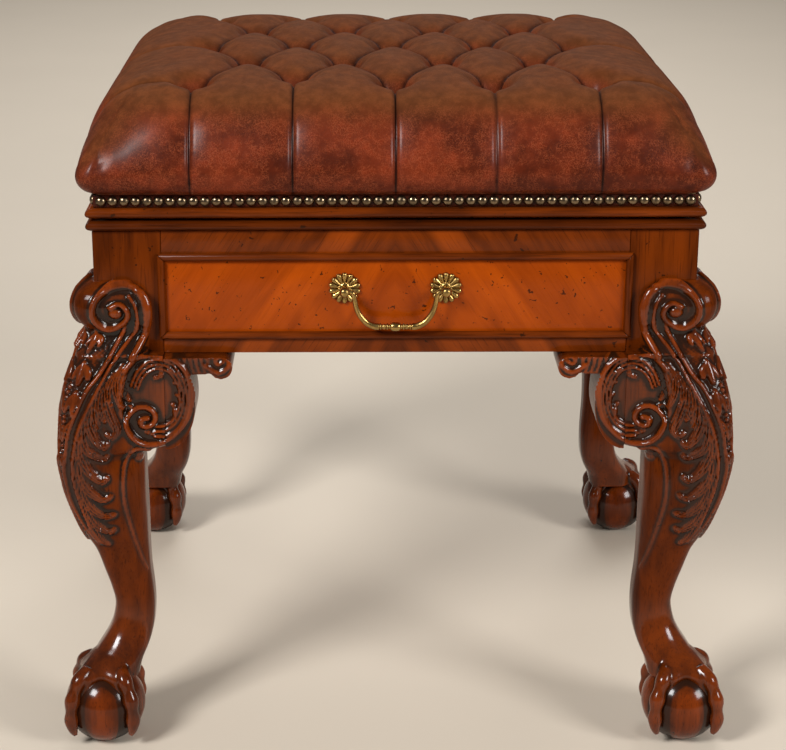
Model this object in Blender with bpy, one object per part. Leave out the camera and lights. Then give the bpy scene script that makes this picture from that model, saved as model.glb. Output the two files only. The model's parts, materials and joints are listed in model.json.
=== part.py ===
"""A mahogany bench with carved cabriole legs, one front drawer and a tufted leather seat.

Metres, +Z up. The front faces -Y. The origin is on the floor, under the middle of the bench.
"""

import math

import bmesh
import bpy
from mathutils import Matrix, Vector

# Case
CASE_WIDTH = 0.480
CASE_DEPTH = 0.410
LEG_HEIGHT = 0.343
APRON_HEIGHT = 0.102
POST = 0.054
RAIL_THICKNESS = 0.020
TOP_RAIL_HEIGHT = 0.0215
BOTTOM_RAIL_HEIGHT = 0.0153
BOTTOM_RAIL_DEPTH = 0.048
TENON_LENGTH = 0.020
TENON_SHOULDER = 0.004

# Clearances
GAP = 0.0003
DRAWER_CLEARANCE = 0.001

# Cabriole leg, measured outwards and inwards from the corner of the case
BALL_RADIUS = 0.031
BALL_FLAT = 0.0015
BALL_TURN = math.radians(7)
FOOT_OUTSET = 0.005
PALM_DEPTH = 0.004
LEG_RINGS = 16
# Sides of a raised strand and how far they are turned, as a share of one side
STRAND_SIDES = 5
STRAND_TWIST = 0.37
# Share of its thickness that a strand loses on the way to its eye
STRAND_TAPER = 0.35
# Rounding of a section's corners, as shares of its sides: outer at ankle and knee, inner, edges, edges at a knee block
ANKLE_ROUND = 0.46
KNEE_ROUND = 0.29
INNER_ROUND = 0.40
EDGE_ROUND = 0.34
SEAT_EDGE_ROUND = 0.03
# How far a face's inner edge stands out beside its outer corner, and the height over which it falls to the knee block
FACE_SHARE = 0.8
KNEE_FALL = 0.050
# Heights between which the outer corner turns from the ankle's rounding to the knee's
CORNER_TURN = (0.12, 0.20)
# Share of the way from the foot up to the rails, outer reach, inner reach
LEG_CURVE = (
    (0.000, 0.0130, 0.0245),
    (0.082, 0.0075, 0.0325),
    (0.111, 0.0010, 0.0352),
    (0.145, -0.0035, 0.0372),
    (0.198, -0.0042, 0.0380),
    (0.253, -0.0018, 0.0375),
    (0.320, 0.0030, 0.0362),
    (0.395, 0.0085, 0.0358),
    (0.450, 0.0152, 0.0360),
    (0.504, 0.0208, 0.0362),
    (0.560, 0.0258, 0.0360),
    (0.640, 0.0318, 0.0358),
    (0.730, 0.0358, 0.0356),
    (0.819, 0.0342, 0.0370),
    (0.906, 0.0300, 0.0382),
    (1.000, 0.0205, 0.0400),
)
# Rise above the underside of the rails, outer reach, inner reach
ROLL_CURVE = (
    (0.0070, 0.0150, 0.0430),
    (0.0190, 0.0085, 0.0445),
    (0.0310, 0.0150, 0.0460),
    (0.0425, 0.0172, 0.0455),
    (0.0540, 0.0130, 0.0400),
    (0.0610, 0.0025, 0.0300),
)
VOLUTE_RISE = 0.0343
VOLUTE_INSET = 0.0225
VOLUTE_RADIUS = 0.0215
VOLUTE_EYE = 0.0035
VOLUTE_START = math.radians(-30)
VOLUTE_TURNS = 1.6
VOLUTE_STRAND = 0.0034

# Palm over the ball: height, how far its middle leans to the ankle, radius between the claws and at a claw
PALM_FLARE = (
    (0.0500, 0.00, 0.0120, 0.0275),
    (0.0560, 0.00, 0.0118, 0.0280),
    (0.0605, 0.00, 0.0125, 0.0275),
    (0.0660, 0.10, 0.0160, 0.0262),
    (0.0730, 0.30, 0.0184, 0.0246),
    (0.0820, 0.60, 0.0187, 0.0216),
    (0.0920, 0.86, 0.0172, 0.0184),
    (0.1020, 1.00, 0.0150, 0.0160),
)
PALM_SIDES = 16
# Claws: distance from the foot's middle, height as a share of the ball's height, thickness
TOE = (
    (0.0150, 1.160, 0.0078),
    (0.0245, 1.035, 0.0078),
    (0.0300, 0.876, 0.0056),
    (0.0332, 0.744, 0.0068),
    (0.0345, 0.595, 0.0052),
    (0.0350, 0.455, 0.0062),
    (0.0336, 0.270, 0.0036),
)
TOE_LEAN = (0.95, 1.40)
TOE_COUNT = 4
TOE_SIDES = 6

# Knee blocks
KNEE_BLOCK_DROP = 0.0795
KNEE_BLOCK_REACH = 0.0250
KNEE_BLOCK_PROUD = 0.0115
KNEE_BLOCK_BACK = 0.0280
BRACKET_REACH = 0.0554
BRACKET_SCROLL = 0.0092

# Ear: the C-scroll across the joint of leg and knee block, from the case corner and the rails' underside
EAR_MIDDLE = (0.0500, -0.0340)
EAR_RADII = (0.0255, 0.0375)
EAR_EYE = (0.0380, -0.0505)
EAR_EYE_RADIUS = 0.0045
EAR_START = math.radians(150)
EAR_SWEEP = math.radians(-640)
EAR_STRAND = 0.0032
EAR_STEPS = 23
# The bowl's ellipsoid is this much wider than the scroll, so that it meets the face under the scroll's strand
EAR_DISH_SPREAD = 1.2
EAR_DISH_DEPTH = 0.0030
EAR_DISH_HALF_THICKNESS = 0.0080

# Mouldings and seat
MOULDING_HEIGHT = 0.008
MOULDING_PROUD = 0.0045
MOULDING_STEPS = 8
FRAME_STRIP_WIDTH = 0.022
SHADOW_GAP = 0.0025
SHADOW_GAP_DEPTH = 0.010
SEAT_BOARD_THICKNESS = 0.018
SEAT_BOARD_INSET = 0.0035
LEATHER_THICKNESS = 0.0015
CUSHION_HEIGHT = 0.087
CUSHION_CORNER = 0.026
CUSHION_EDGE_DROP = 0.013
# Distance out from the case's faces, share of the cushion's height
CUSHION_SIDE = ((-0.0140, 0.800), (-0.0010, 0.680), (0.0095, 0.480), (0.0120, 0.300), (-0.0010, 0.0))
TUFT_PITCH_X = 0.0805
TUFT_PITCH_Y = 0.075
TUFT_CELLS_X = 4
TUFT_CELLS_Y = 6
TUFT_DEPTH = 0.015
TUFT_SPREAD = 0.017
PLEAT_DEPTH = 0.006
PLEAT_SPREAD = 0.009
SIDE_PLEAT_DEPTH = 0.004

# Drawer
DRAWER_LAP = 0.003
BEAD_WIDTH = 0.006
BEAD_PROUD = 0.0042
BEAD_FOOT = 0.001
DRAWER_FRONT_THICKNESS = 0.018
DRAWER_SIDE_THICKNESS = 0.010
DRAWER_BACK_THICKNESS = 0.010
DRAWER_BOTTOM_THICKNESS = 0.005
DRAWER_BOTTOM_RISE = 0.008
GROOVE_DEPTH = 0.004
DRAWER_BACK_ROOM = 0.008
DRAWER_SIDE_DROP = 0.001
RUNNER_WIDTH = 0.021
RUNNER_THICKNESS = 0.011
GUIDE_HEIGHT = 0.026
STOP_LENGTH = 0.030
STOP_DEPTH = 0.008
STOP_HEIGHT = 0.005
STOP_SPREAD = 0.100

# Drawer pull
PULL_CENTRES = 0.0806
PULL_RISE = 0.0547
PULL_STANDOFF = 0.012
ROSETTE_RADIUS = 0.013
ROSETTE_NOTCH = 0.0018
ROSETTE_THICKNESS = 0.002
ROSETTE_DOME = 0.0012
ROSETTE_PETALS = 12
BOSS_RADIUS = 0.0030
BOSS_BALL = 0.0042
PIN_RADIUS = 0.0014
PIN_CLEARANCE = 0.0003
PIN_DEPTH = 0.0026
BAIL_DROP = 0.0268
BAIL_ROD = 0.0019
BAIL_SIDES = 8
# Share of the half width between the bosses, share of the drop, share of the rod's thickness
BAIL_CURVE = (
    (0.850, 0.03, 0.90),
    (0.805, 0.17, 1.00),
    (0.745, 0.46, 1.00),
    (0.605, 0.77, 1.00),
    (0.415, 0.94, 1.00),
    (0.300, 1.00, 1.00),
    (0.270, 1.00, 1.45),
    (0.235, 1.00, 0.95),
    (0.160, 1.00, 1.35),
    (0.110, 1.00, 1.05),
    (0.055, 1.00, 1.80),
)

# Heights and places that follow from the sizes above
CASE_TOP = LEG_HEIGHT + APRON_HEIGHT
HALF_WIDTH = CASE_WIDTH / 2
HALF_DEPTH = CASE_DEPTH / 2
FRONT = -HALF_DEPTH
OPENING_HALF = HALF_WIDTH - POST
OPENING_BOTTOM = LEG_HEIGHT + BOTTOM_RAIL_HEIGHT
OPENING_TOP = CASE_TOP - TOP_RAIL_HEIGHT
SEAT_BASE = CASE_TOP + MOULDING_HEIGHT + SHADOW_GAP
SEAT_TOP = SEAT_BASE + SEAT_BOARD_THICKNESS
BALL_CENTRE = BALL_RADIUS - BALL_FLAT
BALL_TOP = BALL_CENTRE + BALL_RADIUS
PALM = BALL_TOP - PALM_DEPTH
KNEE_BLOCK_BOTTOM = LEG_HEIGHT - KNEE_BLOCK_DROP

MAHOGANY = ((0.15, 0.042, 0.014), 0.32, 0.0)
DRAWER_VENEER = ((0.30, 0.105, 0.028), 0.30, 0.0)
DRAWER_LINING = ((0.48, 0.31, 0.16), 0.60, 0.0)
BRASS = ((0.66, 0.45, 0.16), 0.30, 1.0)
LEATHER = ((0.15, 0.036, 0.022), 0.45, 0.0)


def clear_scene():
    for thing in list(bpy.data.objects):
        bpy.data.objects.remove(thing)


def finish_of(name, finish):
    colour, roughness, metallic = finish
    material = bpy.data.materials.new(name)
    material.use_nodes = True
    shader = material.node_tree.nodes["Principled BSDF"]
    shader.inputs["Base Color"].default_value = (*colour, 1.0)
    shader.inputs["Roughness"].default_value = roughness
    shader.inputs["Metallic"].default_value = metallic
    return material


def add_object(name, bm, finish, smooth=False):
    """A named object from a bmesh, with its faces outwards and its own material."""
    bmesh.ops.recalc_face_normals(bm, faces=bm.faces)
    mesh = bpy.data.meshes.new(name)
    bm.to_mesh(mesh)
    bm.free()
    if smooth:
        mesh.shade_smooth()
        mesh.set_sharp_from_angle(angle=math.radians(40))
    thing = bpy.data.objects.new(name, mesh)
    thing.data.materials.append(finish_of(name, finish))
    bpy.context.scene.collection.objects.link(thing)
    return thing


def combine(target, tool, operation):
    """Joins the tool to the target, or cuts it out, and removes the tool."""
    modifier = target.modifiers.new(operation, "BOOLEAN")
    modifier.operation = operation
    modifier.solver = "EXACT"
    modifier.object = tool
    graph = bpy.context.evaluated_depsgraph_get()
    mesh = bpy.data.meshes.new_from_object(target.evaluated_get(graph))
    target.modifiers.clear()
    old = target.data
    mesh.name = old.name
    target.data = mesh
    bpy.data.meshes.remove(old)
    bpy.data.objects.remove(tool)


def box_mesh(low, high):
    bm = bmesh.new()
    size = Vector(high) - Vector(low)
    middle = (Vector(high) + Vector(low)) / 2
    place = Matrix.Translation(middle) @ Matrix.Diagonal((*size, 1.0))
    bmesh.ops.create_cube(bm, size=1.0, matrix=place)
    return bm


def box(name, low, high, finish):
    return add_object(name, box_mesh(low, high), finish)


def face_towards(bm, direction):
    """The face that lies furthest out in a direction."""
    way = Vector(direction)
    return max(bm.faces, key=lambda face: face.calc_center_median().dot(way))


def extruded(points, sweep):
    """A closed bmesh: the outline's points, pushed along the sweep."""
    bm = bmesh.new()
    face = bm.faces.new([bm.verts.new(point) for point in points])
    made = bmesh.ops.extrude_face_region(bm, geom=[face])
    moved = [item for item in made["geom"] if isinstance(item, bmesh.types.BMVert)]
    bmesh.ops.translate(bm, verts=moved, vec=sweep)
    bmesh.ops.recalc_face_normals(bm, faces=bm.faces)
    return bm


def loft(rings):
    """A closed bmesh through rings of equally many points, capped at both ends."""
    bm = bmesh.new()
    loops = [[bm.verts.new(point) for point in ring] for ring in rings]
    for lower, upper in zip(loops, loops[1:]):
        for k in range(len(lower)):
            after = (k + 1) % len(lower)
            bm.faces.new((lower[k], lower[after], upper[after], upper[k]))
    bm.faces.new(loops[0])
    bm.faces.new(loops[-1])
    bmesh.ops.recalc_face_normals(bm, faces=bm.faces)
    return bm


def tube(path, radii, side_way, sides, twist=0.5):
    """A round rod along a path in one plane, whose normal is side_way. The twist turns its sides, as a share of one."""
    across = Vector(side_way).normalized()
    rings = []
    for k, point in enumerate(path):
        ahead = path[min(k + 1, len(path) - 1)]
        behind = path[max(k - 1, 0)]
        out = (ahead - behind).normalized().cross(across)
        turns = [math.tau * (n + twist) / sides for n in range(sides)]
        rings.append([point + (out * math.cos(a) + across * math.sin(a)) * radii[k] for a in turns])
    return loft(rings)


def blend(points, place):
    """Smooth values at a place among points whose first value is the place itself."""
    last = len(points) - 1
    k = max(n for n in range(last) if points[n][0] <= place or n == 0)
    share = (place - points[k][0]) / (points[k + 1][0] - points[k][0])
    before = points[max(k - 1, 0)]
    after = points[min(k + 2, last)]
    values = []
    for axis in range(1, len(points[0])):
        a, b, c, d = before[axis], points[k][axis], points[k + 1][axis], after[axis]
        slope_b = (c - a) / 2
        slope_c = (d - b) / 2
        cubic = 2 * b - 2 * c + slope_b + slope_c
        square = 3 * c - 3 * b - 2 * slope_b - slope_c
        values.append(((cubic * share + square) * share + slope_b) * share + b)
    return values


def smooth_step(low, high, value):
    share = min(max((value - low) / (high - low), 0.0), 1.0)
    return share * share * (3 - 2 * share)


def rounded_section(outer, inner, face, corner_round, edge, height):
    """One ring of a leg: a square with its outer corner rounded and its faces falling back inwards."""
    corners = [Vector((-outer, -outer)), Vector((inner, -face)), Vector((inner, inner)), Vector((-face, inner))]
    shares = (corner_round, edge, INNER_ROUND, edge)
    steps = (6, 3, 3, 3)
    ring = []
    for k, corner in enumerate(corners):
        start = corner.lerp(corners[k - 1], shares[k])
        end = corner.lerp(corners[(k + 1) % 4], shares[k])
        for n in range(steps[k] + 1):
            t = n / steps[k]
            spot = start.lerp(corner, t).lerp(corner.lerp(end, t), t)
            ring.append((spot.x, spot.y, height))
    return ring


def leg_reach(height):
    """Outer and inner reach, how proud the face's inner edge is, and the rounding of outer corner and edges."""
    share = (height - PALM) / (LEG_HEIGHT - PALM)
    outer, inner = blend(LEG_CURVE, share)
    seat = smooth_step(KNEE_BLOCK_BOTTOM - 0.5 * KNEE_BLOCK_PROUD, KNEE_BLOCK_BOTTOM + KNEE_BLOCK_PROUD, height)
    inner += (POST - GAP - inner) * seat
    fall = smooth_step(KNEE_BLOCK_BOTTOM - KNEE_FALL, KNEE_BLOCK_BOTTOM + KNEE_BLOCK_PROUD, height)
    face = outer * FACE_SHARE
    face += (KNEE_BLOCK_PROUD - face) * fall
    corner_round = ANKLE_ROUND + (KNEE_ROUND - ANKLE_ROUND) * smooth_step(*CORNER_TURN, height)
    edge = EDGE_ROUND + (SEAT_EDGE_ROUND - EDGE_ROUND) * seat
    return outer, inner, face, corner_round, edge


def leg_rings():
    heights = [PALM + (LEG_HEIGHT - PALM) * k / LEG_RINGS for k in range(LEG_RINGS + 1)]
    heights.append(KNEE_BLOCK_BOTTOM)
    rings = [rounded_section(*leg_reach(height), height) for height in sorted(heights)]
    for rise, outer, inner in ROLL_CURVE:
        rings.append(rounded_section(outer, inner, outer, KNEE_ROUND, EDGE_ROUND, LEG_HEIGHT + rise))
    return rings


def volute_ridge():
    """The raised spiral on the leg's front face."""
    steps = int(12 * VOLUTE_TURNS)
    path = []
    radii = []
    for k in range(steps + 1):
        share = k / steps
        radius = VOLUTE_RADIUS + (VOLUTE_EYE - VOLUTE_RADIUS) * share ** 0.8
        turn = VOLUTE_START + math.tau * VOLUTE_TURNS * share
        rise = VOLUTE_RISE + radius * math.sin(turn)
        proud = blend(ROLL_CURVE, rise)[0]
        path.append(Vector((VOLUTE_INSET + radius * math.cos(turn), -proud, LEG_HEIGHT + rise)))
        radii.append(VOLUTE_STRAND * (1 - STRAND_TAPER * share))
    return tube(path, radii, (0, 1, 0), STRAND_SIDES, STRAND_TWIST)


def knee_face(along, height):
    """How far the knee's front face stands out, on the leg and on the flat knee block beside it."""
    outer, inner, face, corner_round, edge = leg_reach(height)
    share = min((along + outer) / (inner + outer), 1.0)
    return outer + (face - outer) * share


def ear_ridge(low, high):
    """The part of the ear's raised C-scroll that lies between two distances along the face."""
    path = []
    radii = []
    for k in range(EAR_STEPS + 1):
        share = k / EAR_STEPS
        turn = EAR_START + EAR_SWEEP * share
        curl = smooth_step(0.28, 0.62, share)
        shrink = smooth_step(0.30, 1.0, share) ** 0.55
        reach = [radius + (EAR_EYE_RADIUS - radius) * shrink for radius in EAR_RADII]
        middle = [first + (last - first) * curl for first, last in zip(EAR_MIDDLE, EAR_EYE)]
        along = middle[0] + reach[0] * math.cos(turn)
        height = LEG_HEIGHT + middle[1] + reach[1] * math.sin(turn)
        path.append(Vector((along, -knee_face(along, height), height)))
        radii.append(EAR_STRAND * (1 - STRAND_TAPER * share))
    bm = tube(path, radii, (0, 1, 0), STRAND_SIDES, STRAND_TWIST)
    for place, way in ((low, -1), (high, 1)):
        everything = bm.verts[:] + bm.edges[:] + bm.faces[:]
        bmesh.ops.bisect_plane(bm, geom=everything, plane_co=(place, 0, 0), plane_no=(way, 0, 0), clear_outer=True)
        bmesh.ops.holes_fill(bm, edges=[edge for edge in bm.edges if edge.is_boundary])
    return bm


def ear_dish():
    """The shallow bowl inside the ear's scroll: a flat ellipsoid that follows the slant of the knee's face."""
    bm = bmesh.new()
    height = LEG_HEIGHT + EAR_MIDDLE[1]
    sunk = EAR_DISH_DEPTH - KNEE_BLOCK_PROUD - EAR_DISH_HALF_THICKNESS
    middle = Matrix.Translation((EAR_MIDDLE[0], sunk, height))
    sizes = (EAR_RADII[0] * EAR_DISH_SPREAD, EAR_DISH_HALF_THICKNESS, EAR_RADII[1] * EAR_DISH_SPREAD)
    place = middle @ Matrix.Diagonal((*sizes, 1.0))
    bmesh.ops.create_uvsphere(bm, u_segments=12, v_segments=8, radius=1.0, matrix=place)
    for vert in bm.verts:
        vert.co.y -= knee_face(vert.co.x, min(vert.co.z, LEG_HEIGHT)) - KNEE_BLOCK_PROUD
    return bm


def ball_mesh():
    bm = bmesh.new()
    middle = Matrix.Translation((-FOOT_OUTSET, -FOOT_OUTSET, BALL_CENTRE)) @ Matrix.Rotation(BALL_TURN, 4, "Z")
    bmesh.ops.create_uvsphere(bm, u_segments=16, v_segments=10, radius=BALL_RADIUS, matrix=middle)
    everything = bm.verts[:] + bm.edges[:] + bm.faces[:]
    cut = bmesh.ops.bisect_plane(bm, geom=everything, plane_no=(0, 0, -1), clear_outer=True)
    rim = [item for item in cut["geom_cut"] if isinstance(item, bmesh.types.BMEdge)]
    bmesh.ops.contextual_create(bm, geom=rim)
    return bm


def ankle_lean(height):
    """How far the leg's middle stands in from the foot's, along each axis."""
    outer, inner, face, corner_round, edge = leg_reach(max(height, PALM))
    return (inner - outer) / 2 + FOOT_OUTSET


def palm_mesh():
    """The palm: it spreads from the ankle over the ball, and its lower edge arches up between the claws."""
    rings = []
    for height, lean, slim, wide in PALM_FLARE:
        middle = lean * ankle_lean(height) - FOOT_OUTSET
        ring = []
        for k in range(PALM_SIDES):
            turn = math.tau * k / PALM_SIDES
            radius = slim + (wide - slim) * (1 - math.cos(TOE_COUNT * turn)) / 2
            ring.append((middle + radius * math.cos(turn), middle + radius * math.sin(turn), height))
        rings.append(ring)
    return loft(rings)


def toe_mesh(index):
    """One claw: it springs from the palm and grips the ball's side."""
    turn = math.tau * (index + 0.5) / TOE_COUNT
    away = Vector((math.cos(turn), math.sin(turn), 0))
    path = []
    for reach, share, thick in TOE:
        height = share * BALL_TOP
        shift = ankle_lean(height) * smooth_step(*TOE_LEAN, share) - FOOT_OUTSET
        path.append(Vector((shift, shift, height)) + away * reach)
    radii = [thick for reach, share, thick in TOE]
    return tube(path, radii, away.cross((0, 0, 1)), TOE_SIDES, STRAND_TWIST)


def swapped(bm):
    """The same shape with its two flat axes changed over, which mirrors it on the leg's diagonal."""
    swap = Matrix(((0, 1, 0, 0), (1, 0, 0, 0), (0, 0, 1, 0), (0, 0, 0, 1)))
    bmesh.ops.transform(bm, matrix=swap, verts=bm.verts)
    bmesh.ops.recalc_face_normals(bm, faces=bm.faces)
    return bm


def at_corner(index):
    """From a leg's own frame to the bench: its corner is the origin, and both its axes point inwards."""
    side = 1 if index in (1, 2) else -1
    end = 1 if index in (2, 3) else -1
    return Matrix.Translation((side * HALF_WIDTH, end * HALF_DEPTH, 0)) @ Matrix.Rotation(index * math.pi / 2, 4, "Z")


def corner_object(name, bm, index, finish, smooth):
    bmesh.ops.transform(bm, matrix=at_corner(index), verts=bm.verts)
    return add_object(name, bm, finish, smooth)


def leg_mesh():
    """One whole leg in its own frame: cabriole, post, ball, claws and the scrolls of volute and ear."""
    leg = add_object("leg_pattern", loft(leg_rings()), MAHOGANY)
    for dish in (ear_dish(), swapped(ear_dish())):
        combine(leg, add_object("leg_tool", dish, MAHOGANY), "DIFFERENCE")
    ear_end = POST - 2 * GAP
    pieces = [ear_ridge(-POST, ear_end), swapped(ear_ridge(-POST, ear_end))]
    post_foot = LEG_HEIGHT - TENON_SHOULDER
    pieces += [box_mesh((0, 0, post_foot), (POST, POST, CASE_TOP)), palm_mesh(), ball_mesh()]
    pieces += [toe_mesh(index) for index in range(TOE_COUNT)]
    pieces += [volute_ridge(), swapped(volute_ridge())]
    for piece in pieces:
        combine(leg, add_object("leg_tool", piece, MAHOGANY), "UNION")
    mesh = leg.data
    bpy.data.objects.remove(leg)
    return mesh


def knee_outline():
    """The outline of a knee block in its own plane: distance from the corner, height."""
    top = LEG_HEIGHT - GAP
    joint = POST + GAP
    half_height = (LEG_HEIGHT - KNEE_BLOCK_BOTTOM) / 2
    middle = LEG_HEIGHT - half_height
    scroll = (POST + BRACKET_REACH - BRACKET_SCROLL, top - BRACKET_SCROLL)
    points = [(joint, top)]
    for k in range(9):
        turn = math.radians(90 - 30 * k)
        points.append((scroll[0] + BRACKET_SCROLL * math.cos(turn), scroll[1] + BRACKET_SCROLL * math.sin(turn)))
    for k in range(9):
        turn = math.radians(38 - 16 * k)
        points.append((joint + KNEE_BLOCK_REACH * math.cos(turn), middle + (half_height - GAP) * math.sin(turn)))
    points.append((joint, KNEE_BLOCK_BOTTOM + GAP))
    return points


def knee_block_mesh():
    """A knee block beside the leg: its outline is pushed through, dished and given its half of the ear's scroll."""
    points = [(along, KNEE_BLOCK_BACK, height) for along, height in knee_outline()]
    sweep = (0, -KNEE_BLOCK_BACK - KNEE_BLOCK_PROUD, 0)
    block = add_object("block_pattern", extruded(points, sweep), MAHOGANY)
    combine(block, add_object("block_tool", ear_dish(), MAHOGANY), "DIFFERENCE")
    start = POST + 2 * GAP
    combine(block, add_object("block_tool", ear_ridge(start, start + POST), MAHOGANY), "UNION")
    mesh = block.data
    bpy.data.objects.remove(block)
    return mesh


def from_mesh(mesh):
    bm = bmesh.new()
    bm.from_mesh(mesh)
    return bm


def tenoned(name, low, high, axis):
    """A rail between two posts with a tenon at each end, along X for axis 0 and along Y for axis 1."""
    bm = box_mesh(low, high)
    for sign in (-1, 1):
        way = Vector((0, 0, 0))
        way[axis] = sign
        end = face_towards(bm, way)
        bmesh.ops.inset_region(bm, faces=[end], thickness=TENON_SHOULDER, use_even_offset=True)
        made = bmesh.ops.extrude_face_region(bm, geom=[end])
        moved = [item for item in made["geom"] if isinstance(item, bmesh.types.BMVert)]
        bmesh.ops.translate(bm, verts=moved, vec=way * TENON_LENGTH)
        bmesh.ops.delete(bm, geom=[end], context="FACES_ONLY")
    return add_object(name, bm, MAHOGANY)


def mortise(leg, low, high, axis):
    """Cuts the two sockets that hold a rail's tenons, where they reach into this leg."""
    low = Vector(low)
    high = Vector(high)
    for k in range(3):
        grow = TENON_LENGTH if k == axis else -TENON_SHOULDER
        low[k] -= grow + GAP
        high[k] += grow + GAP
    combine(leg, box("mortise", low, high, MAHOGANY), "DIFFERENCE")


def rail_boxes():
    """Name, low corner, high corner, axis and the two legs of each rail."""
    along = OPENING_HALF - GAP
    deep = HALF_DEPTH - POST - GAP
    inner_x = HALF_WIDTH - RAIL_THICKNESS
    inner_y = HALF_DEPTH - RAIL_THICKNESS
    return (
        ("front_top_rail", (-along, FRONT, OPENING_TOP), (along, -inner_y, CASE_TOP), 0, (0, 1)),
        (
            "front_bottom_rail",
            (-along, FRONT, LEG_HEIGHT),
            (along, FRONT + BOTTOM_RAIL_DEPTH, OPENING_BOTTOM),
            0,
            (0, 1),
        ),
        ("back_rail", (-along, inner_y, LEG_HEIGHT), (along, HALF_DEPTH, CASE_TOP), 0, (2, 3)),
        ("left_rail", (-HALF_WIDTH, -deep, LEG_HEIGHT), (-inner_x, deep, CASE_TOP), 1, (0, 3)),
        ("right_rail", (inner_x, -deep, LEG_HEIGHT), (HALF_WIDTH, deep, CASE_TOP), 1, (1, 2)),
    )


def make_legs_and_rails():
    pattern = leg_mesh()
    block = knee_block_mesh()
    names = ("front_left", "front_right", "back_right", "back_left")
    rails = rail_boxes()
    for index, name in enumerate(names):
        leg = corner_object("leg_" + name, from_mesh(pattern), index, MAHOGANY, True)
        for rail_name, low, high, axis, legs in rails:
            if index in legs:
                mortise(leg, low, high, axis)
        first, second = ("front", "side") if index == 0 else ("side", "front")
        if index == 2:
            first, second = "back", "side"
        if index == 3:
            first, second = "side", "back"
        corner_object(f"knee_block_{name}_{first}", from_mesh(block), index, MAHOGANY, True)
        corner_object(f"knee_block_{name}_{second}", swapped(from_mesh(block)), index, MAHOGANY, True)
    bpy.data.meshes.remove(pattern)
    bpy.data.meshes.remove(block)
    for name, low, high, axis, legs in rails:
        tenoned(name, low, high, axis)


def nose(base, height, proud, steps):
    """The half-round edge of a moulding, from its foot to its top, as outward distance and height."""
    points = []
    for k in range(steps + 1):
        turn = math.pi * k / steps - math.pi / 2
        points.append((proud * math.cos(turn), base + height / 2 * (1 + math.sin(turn))))
    return points


def mitred_ring(prefix, profile, finish):
    """Four strips with mitred ends round the case. The profile's first value is the distance out from its faces."""
    for index, side in enumerate(("front", "right", "back", "left")):
        half, away = (HALF_WIDTH, HALF_DEPTH) if index % 2 == 0 else (HALF_DEPTH, HALF_WIDTH)
        rings = []
        for end in (-1, 1):
            rings.append([(end * (half + out - GAP), -(away + out), height) for out, height in profile])
        bm = loft(rings)
        turned = Matrix.Rotation(index * math.pi / 2, 4, "Z")
        bmesh.ops.transform(bm, matrix=turned, verts=bm.verts)
        add_object(f"{prefix}_{side}", bm, finish)


def make_mouldings():
    base = CASE_TOP + GAP
    inside = -FRAME_STRIP_WIDTH
    profile = [(inside, base)] + nose(base, MOULDING_HEIGHT, MOULDING_PROUD, MOULDING_STEPS)
    profile += [(-SHADOW_GAP_DEPTH, base + MOULDING_HEIGHT)]
    profile += [(-SHADOW_GAP_DEPTH, SEAT_BASE - GAP), (inside, SEAT_BASE - GAP)]
    mitred_ring("frame_moulding", profile, MAHOGANY)
    inside = -SEAT_BOARD_INSET + GAP
    profile = [(inside, SEAT_BASE)] + nose(SEAT_BASE, MOULDING_HEIGHT, MOULDING_PROUD, MOULDING_STEPS)
    profile += [(inside, SEAT_BASE + MOULDING_HEIGHT)]
    mitred_ring("seat_moulding", profile, MAHOGANY)


def rounded_spot(x, y, half_x, half_y, corner):
    """Keeps a point of a rectangle's edge inside the rectangle's round corner."""
    over_x = abs(x) - (half_x - corner)
    over_y = abs(y) - (half_y - corner)
    if over_x <= 0 or over_y <= 0:
        return x, y
    reach = math.hypot(over_x, over_y)
    new_x = half_x - corner + over_x / reach * corner
    new_y = half_y - corner + over_y / reach * corner
    return math.copysign(new_x, x), math.copysign(new_y, y)


def tuft_rows():
    """The tufts of the seat, five and four to a row by turns."""
    spots = []
    for row in range(-2, 3):
        columns = (-2, -1, 0, 1, 2) if row % 2 == 0 else (-1.5, -0.5, 0.5, 1.5)
        spots += [(column * TUFT_PITCH_X, row * TUFT_PITCH_Y) for column in columns]
    return spots


def pleats_between(spots):
    """The sewn lines between neighbouring tufts, and from the outer tufts to the edge of the seat."""
    lines = []
    for x, y in spots:
        for side in (-0.5, 0.5):
            beyond = (x + side * TUFT_PITCH_X, y + TUFT_PITCH_Y)
            if any(math.dist(beyond, spot) < TUFT_PITCH_X / 10 for spot in spots):
                lines.append(((x, y), beyond))
        if abs(y) > 1.5 * TUFT_PITCH_Y:
            lines.append(((x, y), (x, math.copysign(HALF_DEPTH, y))))
        if abs(x) > 1.75 * TUFT_PITCH_X:
            lines.append(((x, y), (math.copysign(HALF_WIDTH, x), y)))
    return lines


def line_distance(x, y, line):
    (ax, ay), (bx, by) = line
    length = math.dist((ax, ay), (bx, by))
    share = ((x - ax) * (bx - ax) + (y - ay) * (by - ay)) / length**2
    share = min(max(share, 0.0), 1.0)
    return math.dist((x, y), (ax + (bx - ax) * share, ay + (by - ay) * share))


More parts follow.
